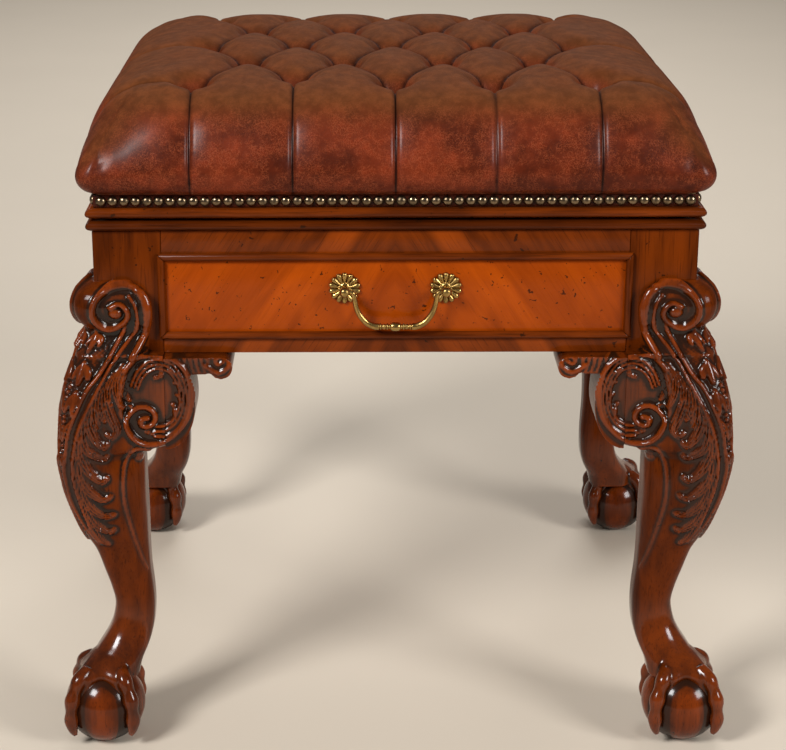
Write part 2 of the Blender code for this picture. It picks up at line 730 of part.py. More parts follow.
def make_cushion():
    """The tufted leather seat: a crowned top with sewn tufts and pleats, and sides that swell and draw in."""
    base = SEAT_TOP + GAP
    spots = tuft_rows()
    lines = pleats_between(spots)
    step_x = TUFT_PITCH_X / TUFT_CELLS_X
    step_y = TUFT_PITCH_Y / TUFT_CELLS_Y
    edge = CUSHION_SIDE[0][0]
    count_x = int((HALF_WIDTH + edge) / step_x)
    count_y = int((HALF_DEPTH + edge) / step_y)

    def top_height(x, y):
        rim = max(abs(x) / HALF_WIDTH, abs(y) / HALF_DEPTH)
        height = CUSHION_HEIGHT - CUSHION_EDGE_DROP * rim**4
        near = min(math.dist((x, y), spot) for spot in spots)
        fold = min(line_distance(x, y, line) for line in lines)
        height -= TUFT_DEPTH * math.exp(-((near / TUFT_SPREAD) ** 2))
        return base + height - PLEAT_DEPTH * math.exp(-((fold / PLEAT_SPREAD) ** 2))

    bm = bmesh.new()
    grid = {}
    for i in range(-count_x, count_x + 1):
        for j in range(-count_y, count_y + 1):
            half_x = count_x * step_x
            half_y = count_y * step_y
            x, y = rounded_spot(i * step_x, j * step_y, half_x, half_y, CUSHION_CORNER / 2)
            grid[i, j] = bm.verts.new((x, y, top_height(x, y)))
    for i in range(-count_x, count_x):
        for j in range(-count_y, count_y):
            bm.faces.new((grid[i, j], grid[i + 1, j], grid[i + 1, j + 1], grid[i, j + 1]))
    border = [(i, -count_y) for i in range(-count_x, count_x)]
    border += [(count_x, j) for j in range(-count_y, count_y)]
    border += [(i, count_y) for i in range(count_x, -count_x, -1)]
    border += [(-count_x, j) for j in range(count_y, -count_y, -1)]
    loop = [grid[spot] for spot in border]
    for out, share in CUSHION_SIDE[1:]:
        half_x = HALF_WIDTH + out
        half_y = HALF_DEPTH + out
        lower = []
        for i, j in border:
            x, y = i / count_x * half_x, j / count_y * half_y
            if abs(j) == count_y:
                x = min(max(i * step_x, -half_x), half_x) if abs(i) < count_x else x
            else:
                y = min(max(j * step_y, -half_y), half_y)
            on_pleat = abs(j) == count_y and i % TUFT_CELLS_X == 0 and abs(i) <= 2 * TUFT_CELLS_X
            on_pleat = on_pleat or abs(i) == count_x and j % (2 * TUFT_CELLS_Y) == 0
            x, y = rounded_spot(x, y, half_x, half_y, CUSHION_CORNER)
            if on_pleat and share > 0:
                x -= math.copysign(SIDE_PLEAT_DEPTH, x) if abs(i) == count_x else 0
                y -= math.copysign(SIDE_PLEAT_DEPTH, y) if abs(j) == count_y else 0
            lower.append(bm.verts.new((x, y, base + share * CUSHION_HEIGHT)))
        for k in range(len(loop)):
            after = (k + 1) % len(loop)
            bm.faces.new((loop[k], loop[after], lower[after], lower[k]))
        loop = lower
    bm.faces.new(loop)
    add_object("cushion", bm, LEATHER, True)


def make_seat():
    half_x = HALF_WIDTH - SEAT_BOARD_INSET
    half_y = HALF_DEPTH - SEAT_BOARD_INSET
    box("seat_board", (-half_x, -half_y, SEAT_BASE), (half_x, half_y, SEAT_TOP), DRAWER_LINING)
    bottom = SEAT_BASE + MOULDING_HEIGHT + GAP
    out_x = half_x + GAP + LEATHER_THICKNESS
    out_y = half_y + GAP + LEATHER_THICKNESS
    border = box("leather_border", (-out_x, -out_y, bottom), (out_x, out_y, SEAT_TOP), LEATHER)
    in_x = half_x + GAP
    in_y = half_y + GAP
    hole = box("border_hole", (-in_x, -in_y, bottom - GAP), (in_x, in_y, SEAT_TOP + GAP), LEATHER)
    combine(border, hole, "DIFFERENCE")
    make_cushion()


def make_drawer_supports():
    """Runners under the drawer, guides beside it, kickers above it and two stops behind its front."""
    inner_y = HALF_DEPTH - RAIL_THICKNESS
    runner_top = OPENING_BOTTOM + DRAWER_CLEARANCE - GAP
    runner_front = FRONT + BOTTOM_RAIL_DEPTH + GAP
    guide_end = HALF_DEPTH - POST - GAP
    inside = OPENING_HALF - RUNNER_WIDTH
    for sign, side in ((-1, "left"), (1, "right")):

        def mirrored_box(name, near, far, finish):
            low = (min(sign * near[0], sign * far[0]), near[1], near[2])
            high = (max(sign * near[0], sign * far[0]), far[1], far[2])
            box(f"{name}_{side}", low, high, finish)

        mirrored_box(
            "drawer_runner",
            (inside, runner_front, runner_top - RUNNER_THICKNESS),
            (OPENING_HALF - GAP, inner_y - GAP, runner_top),
            DRAWER_LINING,
        )
        mirrored_box(
            "drawer_guide",
            (OPENING_HALF, -guide_end, runner_top - RUNNER_THICKNESS),
            (HALF_WIDTH - RAIL_THICKNESS - GAP, guide_end, runner_top - RUNNER_THICKNESS + GUIDE_HEIGHT),
            DRAWER_LINING,
        )
        mirrored_box(
            "drawer_kicker",
            (inside, -inner_y + GAP, OPENING_TOP),
            (OPENING_HALF - GAP, inner_y - GAP, CASE_TOP - GAP),
            DRAWER_LINING,
        )
        stop_y = FRONT + DRAWER_FRONT_THICKNESS + GAP
        mirrored_box(
            "drawer_stop",
            (STOP_SPREAD - STOP_LENGTH / 2, stop_y, OPENING_BOTTOM + GAP),
            (STOP_SPREAD + STOP_LENGTH / 2, stop_y + STOP_DEPTH, OPENING_BOTTOM + STOP_HEIGHT),
            DRAWER_LINING,
        )


def make_drawer():
    half = OPENING_HALF - DRAWER_CLEARANCE
    low = OPENING_BOTTOM + DRAWER_CLEARANCE
    high = OPENING_TOP - DRAWER_CLEARANCE
    inner = half - DRAWER_SIDE_THICKNESS
    front_back = FRONT + DRAWER_FRONT_THICKNESS
    end = HALF_DEPTH - RAIL_THICKNESS - DRAWER_BACK_ROOM
    side_top = high - DRAWER_SIDE_DROP
    panel_low = low + DRAWER_BOTTOM_RISE
    panel_high = panel_low + DRAWER_BOTTOM_THICKNESS
    groove_half = inner + GROOVE_DEPTH

    front = box("drawer_front", (-half, FRONT, low), (half, front_back, high), DRAWER_VENEER)
    groove = box(
        "front_groove",
        (-groove_half, front_back - GROOVE_DEPTH - GAP, panel_low - GAP),
        (groove_half, front_back + GAP, panel_high + GAP),
        DRAWER_LINING,
    )
    combine(front, groove, "DIFFERENCE")
    for sign, side in ((-1, "left"), (1, "right")):
        outline = [
            (half, low),
            (half, side_top),
            (inner, side_top),
            (inner, panel_high + GAP),
            (groove_half, panel_high + GAP),
            (groove_half, panel_low - GAP),
            (inner, panel_low - GAP),
            (inner, low),
        ]
        points = [(sign * x, front_back + GAP, z) for x, z in outline]
        bm = extruded(points, (0, end - front_back - GAP, 0))
        add_object(f"drawer_side_{side}", bm, DRAWER_LINING)
    box(
        "drawer_back",
        (-inner + GAP, end - DRAWER_BACK_THICKNESS, panel_high + GAP),
        (inner - GAP, end, side_top),
        DRAWER_LINING,
    )
    box(
        "drawer_bottom",
        (-groove_half + GAP, front_back - GROOVE_DEPTH, panel_low),
        (groove_half - GAP, end, panel_high),
        DRAWER_LINING,
    )
    make_beads()


def make_beads():
    """Four mitred strips on the drawer front, which lap over the edges of its opening."""
    back = FRONT - GAP
    middle = (OPENING_BOTTOM + OPENING_TOP) / 2
    half_x = OPENING_HALF + DRAWER_LAP
    half_z = (OPENING_TOP - OPENING_BOTTOM) / 2 + DRAWER_LAP
    steps = 5
    profile = [(0.0, 0.0)]
    for k in range(steps + 1):
        turn = math.pi * k / steps
        profile.append((BEAD_WIDTH / 2 * (1 - math.cos(turn)), BEAD_FOOT + (BEAD_PROUD - BEAD_FOOT) * math.sin(turn)))
    profile.append((BEAD_WIDTH, 0.0))
    for index, side in enumerate(("bottom", "right", "top", "left")):
        along, away = (half_x, half_z) if index % 2 == 0 else (half_z, half_x)
        rings = []
        for sign in (-1, 1):
            rings.append([(sign * (along - inset - GAP), back - proud, inset - away) for inset, proud in profile])
        bm = loft(rings)
        turned = Matrix.Translation((0, 0, middle)) @ Matrix.Rotation(-index * math.pi / 2, 4, "Y")
        bmesh.ops.transform(bm, matrix=turned, verts=bm.verts)
        add_object(f"drawer_bead_{side}", bm, MAHOGANY)


def make_pull():
    """Two brass rosettes with a ball boss each, and the bail that swings between them."""
    axis = Vector((0, FRONT - PULL_STANDOFF, LEG_HEIGHT + PULL_RISE))
    half = PULL_CENTRES / 2
    for sign, side in ((-1, "left"), (1, "right")):
        make_rosette(f"rosette_{side}", sign, axis + Vector((sign * half, 0, 0)))
    make_bail(axis, half)


def make_rosette(name, sign, centre):
    steps = 4 * ROSETTE_PETALS
    back = FRONT - GAP
    levels = ((1.0, back), (1.0, back - ROSETTE_THICKNESS), (0.5, back - ROSETTE_THICKNESS - ROSETTE_DOME))
    rings = []
    for share, depth in levels:
        ring = []
        for k in range(steps):
            turn = math.tau * k / steps
            notch = ROSETTE_NOTCH * (1 - abs(math.sin(ROSETTE_PETALS * turn / 2)))
            radius = share * (ROSETTE_RADIUS - notch)
            ring.append((centre.x + radius * math.cos(turn), depth, centre.z + radius * math.sin(turn)))
        rings.append(ring)
    rosette = add_object(name, loft(rings), BRASS, True)
    root = back - ROSETTE_THICKNESS / 2
    neck = bmesh.new()
    middle = Matrix.Translation((centre.x, (root + centre.y) / 2, centre.z)) @ Matrix.Rotation(math.pi / 2, 4, "X")
    bmesh.ops.create_cone(
        neck,
        cap_ends=True,
        segments=10,
        radius1=BOSS_RADIUS,
        radius2=BOSS_RADIUS,
        depth=root - centre.y,
        matrix=middle,
    )
    combine(rosette, add_object("neck", neck, BRASS), "UNION")
    knob = bmesh.new()
    bmesh.ops.create_uvsphere(knob, u_segments=12, v_segments=8, radius=BOSS_BALL, matrix=Matrix.Translation(centre))
    combine(rosette, add_object("knob", knob, BRASS), "UNION")
    inner_face = centre.x - sign * BOSS_BALL
    bore_end = inner_face + sign * (PIN_DEPTH + PIN_CLEARANCE)
    bore_start = inner_face - sign * BOSS_BALL
    bore = bmesh.new()
    middle = Matrix.Translation(((bore_start + bore_end) / 2, centre.y, centre.z))
    bmesh.ops.create_cone(
        bore,
        cap_ends=True,
        segments=12,
        radius1=PIN_RADIUS + PIN_CLEARANCE,
        radius2=PIN_RADIUS + PIN_CLEARANCE,
        depth=abs(bore_end - bore_start),
        matrix=middle @ Matrix.Rotation(math.pi / 2, 4, "Y"),
    )
    combine(rosette, add_object("bore", bore, BRASS), "DIFFERENCE")


def make_bail(axis, half):
    """The bail hangs from its pins. Its object sits on the axis that it swings on."""
    pin_end = half - BOSS_BALL + PIN_DEPTH
    pin_start = half - BOSS_BALL - PIN_RADIUS / 2
    stations = [(reach / half, 0.0, PIN_RADIUS / BAIL_ROD) for reach in (pin_end, pin_start)]
    stations += BAIL_CURVE
    left = [(-across, drop, thick) for across, drop, thick in stations]
    right = [(across, drop, thick) for across, drop, thick in reversed(stations)]
    stations = left + [(0.0, 1.0, 1.95)] + right
    path = [Vector((across * half, 0, -drop * BAIL_DROP)) for across, drop, thick in stations]
    radii = [thick * BAIL_ROD for across, drop, thick in stations]
    bail = add_object("bail_handle", tube(path, radii, (0, 1, 0), BAIL_SIDES), BRASS, True)
    bail.location = axis


def main():
    clear_scene()
    make_legs_and_rails()
    make_mouldings()
    make_seat()
    make_drawer_supports()
    make_drawer()
    make_pull()


main()
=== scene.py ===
"""Looks of a mahogany bench: carved legs, a veneered drawer, a brass pull and a tufted leather seat.

Laid out as an add-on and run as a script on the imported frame. Metres, +Z up, and the front faces -Y.
"""

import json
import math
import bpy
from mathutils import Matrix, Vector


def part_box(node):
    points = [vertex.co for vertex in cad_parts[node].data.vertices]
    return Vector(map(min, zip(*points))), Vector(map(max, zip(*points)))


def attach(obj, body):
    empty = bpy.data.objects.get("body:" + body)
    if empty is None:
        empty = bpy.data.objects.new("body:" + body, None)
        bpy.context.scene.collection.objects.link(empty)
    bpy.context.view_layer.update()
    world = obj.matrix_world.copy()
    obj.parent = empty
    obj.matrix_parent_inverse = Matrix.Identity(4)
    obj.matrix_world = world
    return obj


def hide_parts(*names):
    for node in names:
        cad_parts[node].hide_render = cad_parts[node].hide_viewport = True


bl_info = {
    "name": "Mahogany bench",
    "version": (1, 0, 0),
    "blender": (4, 5, 0),
    "location": "3D View > Sidebar > Bench",
    "description": "Dresses the packed frame of a carved mahogany bench with a drawer and a tufted seat",
    "category": "Object",
}

import bmesh
import bpy
import numpy as np
from mathutils import Matrix, Vector

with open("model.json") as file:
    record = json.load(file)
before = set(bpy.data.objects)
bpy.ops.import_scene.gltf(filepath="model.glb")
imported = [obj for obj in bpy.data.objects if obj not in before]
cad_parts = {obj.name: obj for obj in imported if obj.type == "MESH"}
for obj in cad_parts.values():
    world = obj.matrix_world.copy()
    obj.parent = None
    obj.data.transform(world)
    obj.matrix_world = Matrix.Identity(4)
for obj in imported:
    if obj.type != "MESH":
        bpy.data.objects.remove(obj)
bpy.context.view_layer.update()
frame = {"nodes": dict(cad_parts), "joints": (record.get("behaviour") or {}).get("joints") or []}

MM = 0.001
# Corners closer than this are one
SAME_SPOT = 1e-7
CORNERS = ("front_left", "front_right", "back_right", "back_left")

# Places taken from the frame
HALF_WIDTH = -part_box("left_rail")[0].x
HALF_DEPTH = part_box("back_rail")[1].y
LEG_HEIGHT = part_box("left_rail")[0].z
CASE_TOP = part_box("left_rail")[1].z
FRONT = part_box("drawer_front")[0].y
SEAT_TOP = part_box("seat_board")[1].z
TENON = 20 * MM
GAP = 0.3 * MM
POST = HALF_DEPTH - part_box("left_rail")[1].y + TENON - GAP
CUSHION_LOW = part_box("cushion")[0]
BORDER_LOW, BORDER_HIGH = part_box("leather_border")
PULL_AXIS = Vector(next(j for j in frame["joints"] if j["name"] == "bail_swing")["pos_m"])

# The leg's outer and inner reach from the case corner, by share of the way up from the foot
FOOT_TOP = 0.0565
LEG_CURVE = (
    (0.000, 0.0200, 0.0245),
    (0.040, 0.0185, 0.0270),
    (0.066, 0.0135, 0.0302),
    (0.085, 0.0088, 0.0327),
    (0.111, 0.0033, 0.0352),
    (0.145, -0.0013, 0.0372),
    (0.198, -0.0042, 0.0380),
    (0.253, -0.0018, 0.0375),
    (0.320, 0.0030, 0.0362),
    (0.395, 0.0085, 0.0358),
    (0.450, 0.0152, 0.0360),
    (0.504, 0.0208, 0.0362),
    (0.560, 0.0258, 0.0360),
    (0.640, 0.0318, 0.0358),
    (0.730, 0.0358, 0.0356),
    (0.819, 0.0342, 0.0370),
    (0.906, 0.0300, 0.0382),
    (1.000, 0.0205, 0.0400),
)
# The roll above the knee: rise over the underside of the rails, outer reach, inner reach
ROLL_CURVE = (
    (0.0000, 0.0205, 0.0400),
    (0.0070, 0.0150, 0.0430),
    (0.0190, 0.0085, 0.0445),
    (0.0310, 0.0150, 0.0460),
    (0.0425, 0.0172, 0.0455),
    (0.0540, 0.0130, 0.0400),
    (0.0610, 0.0025, 0.0300),
)
KNEE_BOTTOM = LEG_HEIGHT - 0.0795
KNEE_PROUD = 0.0115
KNEE_FALL = 0.050
# Knee block: depth behind the case's face, reach of its scroll and of its bracket's curl beyond the post
BLOCK_DEPTH = 0.0280
BLOCK_REACH = 0.0250
CURL_REACH = 0.0554
CURL_RADIUS = 0.0092
# Leg and knee block are carved a little too long and then cut flush at their joint
JOINT_SPARE = 0.007
# How much painted shade darkens the plain shank, and how much darker carved parts are made
SHANK_SHADE = 0.045
WORKED_SHADE = 0.085
# Carve value of a plain face, which keeps the glaze and its painted shade off it
PLAIN_WOOD = 0.58
# Depth beside the neighbours, and of a hollow, that changes the carve value by 1
FULL_RECESS = 1.7 * MM
FULL_HOLLOW = 1.5 * MM
# Rounding of a section's corners, as shares of its sides
ANKLE_ROUND = 0.46
KNEE_ROUND = 0.29
INNER_ROUND = 0.40
EDGE_ROUND = 0.34
SEAT_EDGE_ROUND = 0.02

# How much is taken off an arris
BOARD_ARRIS = 0.8 * MM
POST_ARRIS = 0.7 * MM
WOOD_ARRIS = 0.6 * MM
FINE_ARRIS = 0.4 * MM

# Ball and claws
BALL_RADIUS = 0.0335
BALL_CENTRE = 0.0315
FOOT_OUTSET = 0.005
# Edge of the palm on the ball: its height between two claws, and how far it falls towards a claw
RIM_TOP = 0.0605
RIM_FALL = 0.0205
# Distance from the foot's middle, height, thickness
CLAW = (
    (0.0190, 0.0660, 0.0062),
    (0.0268, 0.0598, 0.0068),
    (0.0316, 0.0520, 0.0055),
    (0.0348, 0.0440, 0.0067),
    (0.0362, 0.0355, 0.0050),
    (0.0367, 0.0270, 0.0060),
    (0.0356, 0.0185, 0.0042),
    (0.0332, 0.0120, 0.0022),
)
CLAW_LEAN = (0.0575, 0.0847)
CLAW_COUNT = 4

# The palm over the ball: height, lean of its middle to the ankle, radius between the claws and at a claw
PALM = (
    (0.0300, 0.00, 0.0100, 0.0340),
    (0.0400, 0.00, 0.0110, 0.0332),
    (0.0450, 0.00, 0.0118, 0.0320),
    (0.0500, 0.00, 0.0126, 0.0306),
    (0.0550, 0.00, 0.0140, 0.0298),
    (0.0580, 0.00, 0.0162, 0.0292),
    (0.0605, 0.00, 0.0184, 0.0284),
    (0.0630, 0.06, 0.0196, 0.0270),
    (0.0660, 0.18, 0.0196, 0.0248),
    (0.0700, 0.40, 0.0184, 0.0216),
    (0.0750, 0.66, 0.0168, 0.0184),
    (0.0820, 0.90, 0.0146, 0.0151),
    (0.0900, 1.00, 0.0122, 0.0124),
    (0.1000, 1.00, 0.0100, 0.0100),
)

# Carving, in mm: distance along the face from the case corner, height over the floor
VOLUTE = (
    (30, 344), (38, 359), (42, 377), (40, 392), (30, 402), (16, 402), (5, 395), (0, 385), (2, 375), (10, 368),
    (20, 369), (27, 376), (27, 384), (21, 389), (14, 386),
)
VOLUTE_EYE = (18, 381)
RIBBON_OUTER = (
    (25.5, 372), (22, 362), (16.5, 352), (11, 343), (4, 332), (-6, 320), (-14, 304), (-21, 287), (-24, 270),
    (-26, 254), (-24, 236), (-20, 218), (-13, 200), (-3, 182),
)
RIBBON_INNER = (
    (29, 396), (34, 388), (35.5, 378), (33.5, 367), (28, 358), (21, 349.5), (14, 340), (7, 328), (0, 316),
    (-7, 303),
    (-14, 287), (-18, 270), (-20, 254), (-18, 236), (-14, 218), (-9, 200), (-1, 183),
)
EAR_SCROLL = (
    (41, 292), (36, 291), (37, 286), (43, 286), (47, 292), (44, 299), (36, 302), (28, 298), (24, 290),
    (27, 280),
    (34, 273), (44, 270), (56, 273), (67, 283), (74, 296), (76, 312), (74, 327), (67, 338), (55, 345),
    (43, 346),
    (32, 342), (24, 334),
)
EAR_MIDDLE = (50, 309)
EAR_RADII = (26, 38)
# Leaves inside the ear's scroll, each as degrees round its middle and shares of its radii
EAR_LEAVES = (
    ((-118, 0.84), (-85, 0.80), (-55, 0.74), (-34, 0.60), (-22, 0.46)),
    ((-92, 0.90), (-60, 0.86), (-28, 0.80), (-6, 0.68), (6, 0.54)),
    ((-55, 0.92), (-25, 0.88), (5, 0.83), (24, 0.72), (34, 0.58)),
    ((-5, 0.93), (18, 0.90), (38, 0.82), (52, 0.68)),
    ((150, 0.86), (125, 0.84), (100, 0.78), (80, 0.66), (82, 0.50), (100, 0.46)),
    ((135, 0.94), (105, 0.92), (78, 0.86), (58, 0.72)),
)
# Flutes beside the ear's rim: share of its radii, height in mm
EAR_FLUTES = ((0.870, 3.6), (0.755, 3.2), (0.650, 2.6))
LEAVES_ON_EAR = (
    ((23, 338), (17, 327), (17, 315), (22, 304), (28, 303)),
    ((31, 338), (25, 328), (23, 316), (27, 308)),
    ((15, 331), (10, 318), (12, 306)),
)
LEAVES_ON_KNEE = (
    ((9, 324), (8, 311), (12, 296), (16, 286), (13, 280), (9, 282)),
    ((5, 320), (3, 307), (7, 294)),
    ((1, 313), (0, 302), (1, 289)),
    ((-3, 306), (-6, 294), (-2, 281), (5, 272), (9, 274)),
    ((-8, 299), (-11, 285), (-7, 270), (4, 261), (8, 263)),
    ((-13, 285), (-14, 268), (-8, 252), (2, 242), (7, 244)),
    ((-15, 266), (-15, 250), (-9, 236), (2, 226), (9, 228)),
    ((-15, 248), (-13, 232), (-7, 218), (3, 210), (11, 211)),
    ((-13, 228), (-10, 214), (-4, 201), (6, 194), (10, 196)),
    ((-10, 210), (-7, 198), (-2, 187), (4, 181)),
)
BRACKET_SCROLL = ((88, 336), (98, 330), (106, 335), (107, 342), (101, 345), (96, 341), (98, 337), (102, 339))
INNER_BEAD = (
    (44, 262), (39, 266), (30, 267), (23, 259), (20, 247), (20, 224), (24, 197), (29, 170), (34, 151),
)
INNER_BUTTON = (33, 258)
HUSK_TOPS = (364, 341, 318, 295, 272, 250, 229, 210)
HUSK_FROM_CORNER = 7
BEAD_PITCH = 4
# Heights between which a feature of the leg starts or ends
STRAP_FOOT = (0.183, 0.200)
STRAP_TOP = (0.370, 0.360)
BEADS_TOP = (0.326, 0.318)
CARVING_FOOT = (0.135, 0.160)
SHANK_FOOT = (0.075, 0.110)
SHANK_TOP = (0.270, 0.215)
FOOT_SHINE = (0.130, 0.095)
ROUNDING = (0.12, 0.20)
# The ground between the husks: its depth and the ripple on it
GROUND_DEPTH = 1.3 * MM
GROUND_RIPPLE = 0.3 * MM

# Brass pull
PULL_HALF = 0.0403
ROSETTE_RADIUS = 12.8 * MM
PETALS = 14
# Share of the radius, distance in front of the drawer in mm
ROSETTE_PROFILE = (
    (0.00, 0.0), (0.60, 0.0), (0.97, 0.0), (1.00, 0.7), (0.96, 1.7), (0.86, 2.2), (0.70, 2.2), (0.54, 2.0),
    (0.42, 1.9), (0.35, 1.9), (0.30, 2.2), (0.25, 2.8), (0.215, 3.6), (0.20, 5.0), (0.20, 6.6),
    (0.235, 8.6), (0.30, 10.2), (0.328, 12.0), (0.30, 13.9), (0.20, 15.5), (0.08, 16.1), (0.00, 16.2),
)
BAIL_DROP = 0.0288
# Share of the half width, share of the drop, radius in mm
BAIL_ARM = (
    (0.9603, 0.0, 1.50), (0.930, 0.0, 1.50), (0.895, 0.0, 1.50), (0.858, 0.005, 1.65), (0.832, 0.04, 1.85),
    (0.815, 0.12, 1.95), (0.800, 0.25, 2.0), (0.775, 0.42, 2.1), (0.730, 0.59, 2.2), (0.665, 0.74, 2.35),
    (0.580, 0.87, 2.5), (0.490, 0.95, 2.6), (0.405, 0.99, 2.7), (0.335, 1.0, 2.7), (0.318, 1.0, 1.9),
    (0.300, 1.0, 2.6), (0.284, 1.0, 2.6), (0.266, 1.0, 1.7), (0.240, 1.0, 2.2), (0.210, 1.0, 2.3),
    (0.186, 1.0, 1.75), (0.170, 1.0, 2.65), (0.152, 1.0, 2.65), (0.132, 1.0, 1.8), (0.112, 1.0, 1.9),
    (0.095, 1.0, 2.7), (0.072, 1.0, 3.3), (0.040, 1.0, 3.65),
)
BAIL_MIDDLE = (0.0, 1.0, 3.7)

# Seat: distance out from the case's faces and height over the board
SEAT_ROLL = (
    (-0.0280, 0.0790), (-0.0165, 0.0738), (-0.0070, 0.0658), (0.0000, 0.0558), (0.0055, 0.0450),
    (0.0098, 0.0340),
    (0.0125, 0.0230), (0.0119, 0.0125), (0.0065, 0.0040), (-0.0008, 0.0002),
)
SEAT_CROWN = (
    (-0.240, 0.0890), (-0.140, 0.0890), (-0.095, 0.0882), (-0.070, 0.0868), (-0.052, 0.0846),
    (-0.040, 0.0823),
    (-0.0280, 0.0790),
)
# Tufts that sit off their row, by column and row: shift across and back, share of the full depth
STRAY_TUFTS = {(-1, -2): (0.000, 0.012, 0.7), (1, -2): (-0.002, -0.002, 1.0), (0.5, -1): (0.002, 0.003, 0.9)}
TUFT_PITCH_X = 0.0805
TUFT_PITCH_Y = 0.075
# Steps of the leather's mesh from one tuft to the next
TUFT_STEPS_X = 54
TUFT_STEPS_Y = 42
BUTTON_RADIUS = 0.0055
NAIL_GAP = 0.3 * MM
# How far from a corner the seat starts to round in plan, and how square it stays
CORNER_REACH = 0.080
CORNER_POWER = 2.7
# Over what width the crown's two ways blend at a corner, the dip there and the rim's rounding
CORNER_BLEND = 0.05
CORNER_DIP = 0.0125
CORNER_ROUND = 0.013
# Fold beside a corner, the widths of folds and pits, and of the painted shade along a fold and round a pit
CORNER_PLEAT = 8 * MM
SLIT_WIDTH = 2.0 * MM
VALLEY_WIDTH = 12 * MM
LINE_WIDTH = 1.3 * MM
SIDE_VALLEY_WIDTH = 9 * MM
PIT_WIDTH = 13 * MM
PIT_SHADE_WIDTH = 4.5 * MM

# Stage: lamps with their place, size in m and power in W, the spots they aim at, the sky and the camera
LAMPS = (
    ("key", (-1.5, -1.7, 1.9), 0.75, 70.0),
    ("fill", (1.9, -1.5, 1.3), 0.8, 42.0),
    ("back", (0.3, 1.6, 2.2), 1.4, 20.0),
    ("far", (0.0, 3.2, 2.2), 2.5, 45.0),
)
BENCH_MIDDLE = (0, 0, 0.3)
FAR_FLOOR = (0, 3.2, 0)
SKY = (1.0, 0.96, 0.90, 1)
SKY_STRENGTH = 0.15
SENSOR_WIDTH = 36
CAMERA_SHIFT = (0.0565, -0.12)
CAMERA_ROLL = math.radians(0.15)


def panel_colour(name, description, default):
    """A colour that the panel shows."""
    return bpy.props.FloatVectorProperty(
        name=name, description=description, subtype="COLOR", default=default, min=0, max=1
    )


def panel_number(name, description, default, kind="DISTANCE"):
    """A length or a share that the panel shows."""
    return bpy.props.FloatProperty(name=name, description=description, subtype=kind, default=default)


class BenchFinish(bpy.types.PropertyGroup):
    """Colours of the wood, leather and brass."""

    mahogany: panel_colour("Mahogany", "Polished wood", (0.126, 0.0212, 0.0014))
    mahogany_dark: panel_colour("Dark grain", "Wood's dark lines", (0.032, 0.0056, 0.0008))
    veneer: panel_colour("Veneer", "Drawer front", (0.285, 0.0450, 0.0014))
    veneer_dark: panel_colour("Veneer figure", "Drawer's dark figure", (0.150, 0.0215, 0.0010))
    # Also the colour of the painted shade in recesses, hollows, on the shank and on the ball
    glaze: panel_colour("Glaze", "Dark polish left in recesses", (0.011, 0.0042, 0.0018))
    lining: panel_colour("Lining", "Bare wood inside", (0.420, 0.260, 0.130))
    leather: panel_colour("Leather", "Oxblood leather", (0.106, 0.0145, 0.0038))
    # Browner, lighter colour of up-facing leather: partly wear, partly painted light
    leather_worn: panel_colour("Worn leather", "Browner top", (0.118, 0.0370, 0.0105))
    brass: panel_colour("Brass", "Drawer pull", (0.430, 0.275, 0.090))
    nail: panel_colour("Nails", "Antique brass nails", (0.210, 0.150, 0.090))


class BenchCarving(bpy.types.PropertyGroup):
    """How deep and how fine the carving is."""

    depth: bpy.props.FloatProperty(name="Depth", description="Scale of all relief", default=1.0, min=0, max=2)
    grain: bpy.props.FloatProperty(
        name="Grain size",
        description="Size of the carved mesh's faces",
        subtype="DISTANCE",
        default=0.00104,
        min=0.0008,
    )


class BenchSeat(bpy.types.PropertyGroup):
    """Tufts, pleats and nails of the seat."""

    tuft: panel_number("Tuft depth", "Pit at a button", 0.021)
    pleat: panel_number("Pleat depth", "Fold's depth", 0.006)
    fill: panel_number("Fill", "How tight the padding is", 0.8, "FACTOR")
    nail: panel_number("Nail head", "Nail's radius", 0.0044)


class BenchStage(bpy.types.PropertyGroup):
    """Camera, light and floor."""

    lens: bpy.props.FloatProperty(name="Lens", description="Focal length in mm", default=86.06, min=10)
    pitch: bpy.props.FloatProperty(
        name="Pitch", description="Camera's tilt downwards", subtype="ANGLE", default=math.radians(17.29)
    )
    camera: bpy.props.FloatVectorProperty(
        name="Camera", description="Camera's place", subtype="TRANSLATION", default=(-0.036, -1.633, 0.848)
    )
    floor: panel_colour("Floor", "Floor's colour", (0.62, 0.54, 0.44))


def smooth_step(low, high, value):
    share = np.clip((value - low) / (high - low), 0.0, 1.0)
    return share * share * (3 - 2 * share)


def through(points, count):
    """A smooth line of that many spots through the points."""
    points = np.array(points, float)
    last = len(points) - 1
    places = np.linspace(0, last, count)
    k = np.minimum(places.astype(int), last - 1)
    t = (places - k)[:, None]
    a = points[np.maximum(k - 1, 0)]
    b = points[k]
    c = points[k + 1]
    d = points[np.minimum(k + 2, last)]
    cubic = -a + 3 * b - 3 * c + d
    square = 2 * a - 5 * b + 4 * c - d
    return ((cubic * t + square) * t + c - a) * t / 2 + b


def value_at(points, place):
    """Smooth values at a place among points whose first value is the place itself."""
    line = through(points, 24 * len(points))
    return [np.interp(place, line[:, 0], line[:, k]) for k in range(1, line.shape[1])]


def fill_holes(bm):
    rim = [edge for edge in bm.edges if edge.is_boundary]
    bmesh.ops.holes_fill(bm, edges=rim, sides=0)


def take_off(bm, edges, width):
    """Rounds arrises over that width."""
    bmesh.ops.bevel(bm, geom=edges, offset=width, segments=2, profile=0.5, affect="EDGES", material=-1)


def wrapped(around, along, place):
    """A tube made from a grid: place(turn, share) gives each corner's spot, turn going once round."""
    bm = bmesh.new()
    bmesh.ops.create_grid(bm, x_segments=around, y_segments=along, size=0.5)
    for vert in bm.verts:
        vert.co = place(vert.co.x + 0.5, vert.co.y + 0.5)
    bmesh.ops.remove_doubles(bm, verts=bm.verts, dist=SAME_SPOT)
    fill_holes(bm)
    bmesh.ops.recalc_face_normals(bm, faces=bm.faces)
    return bm


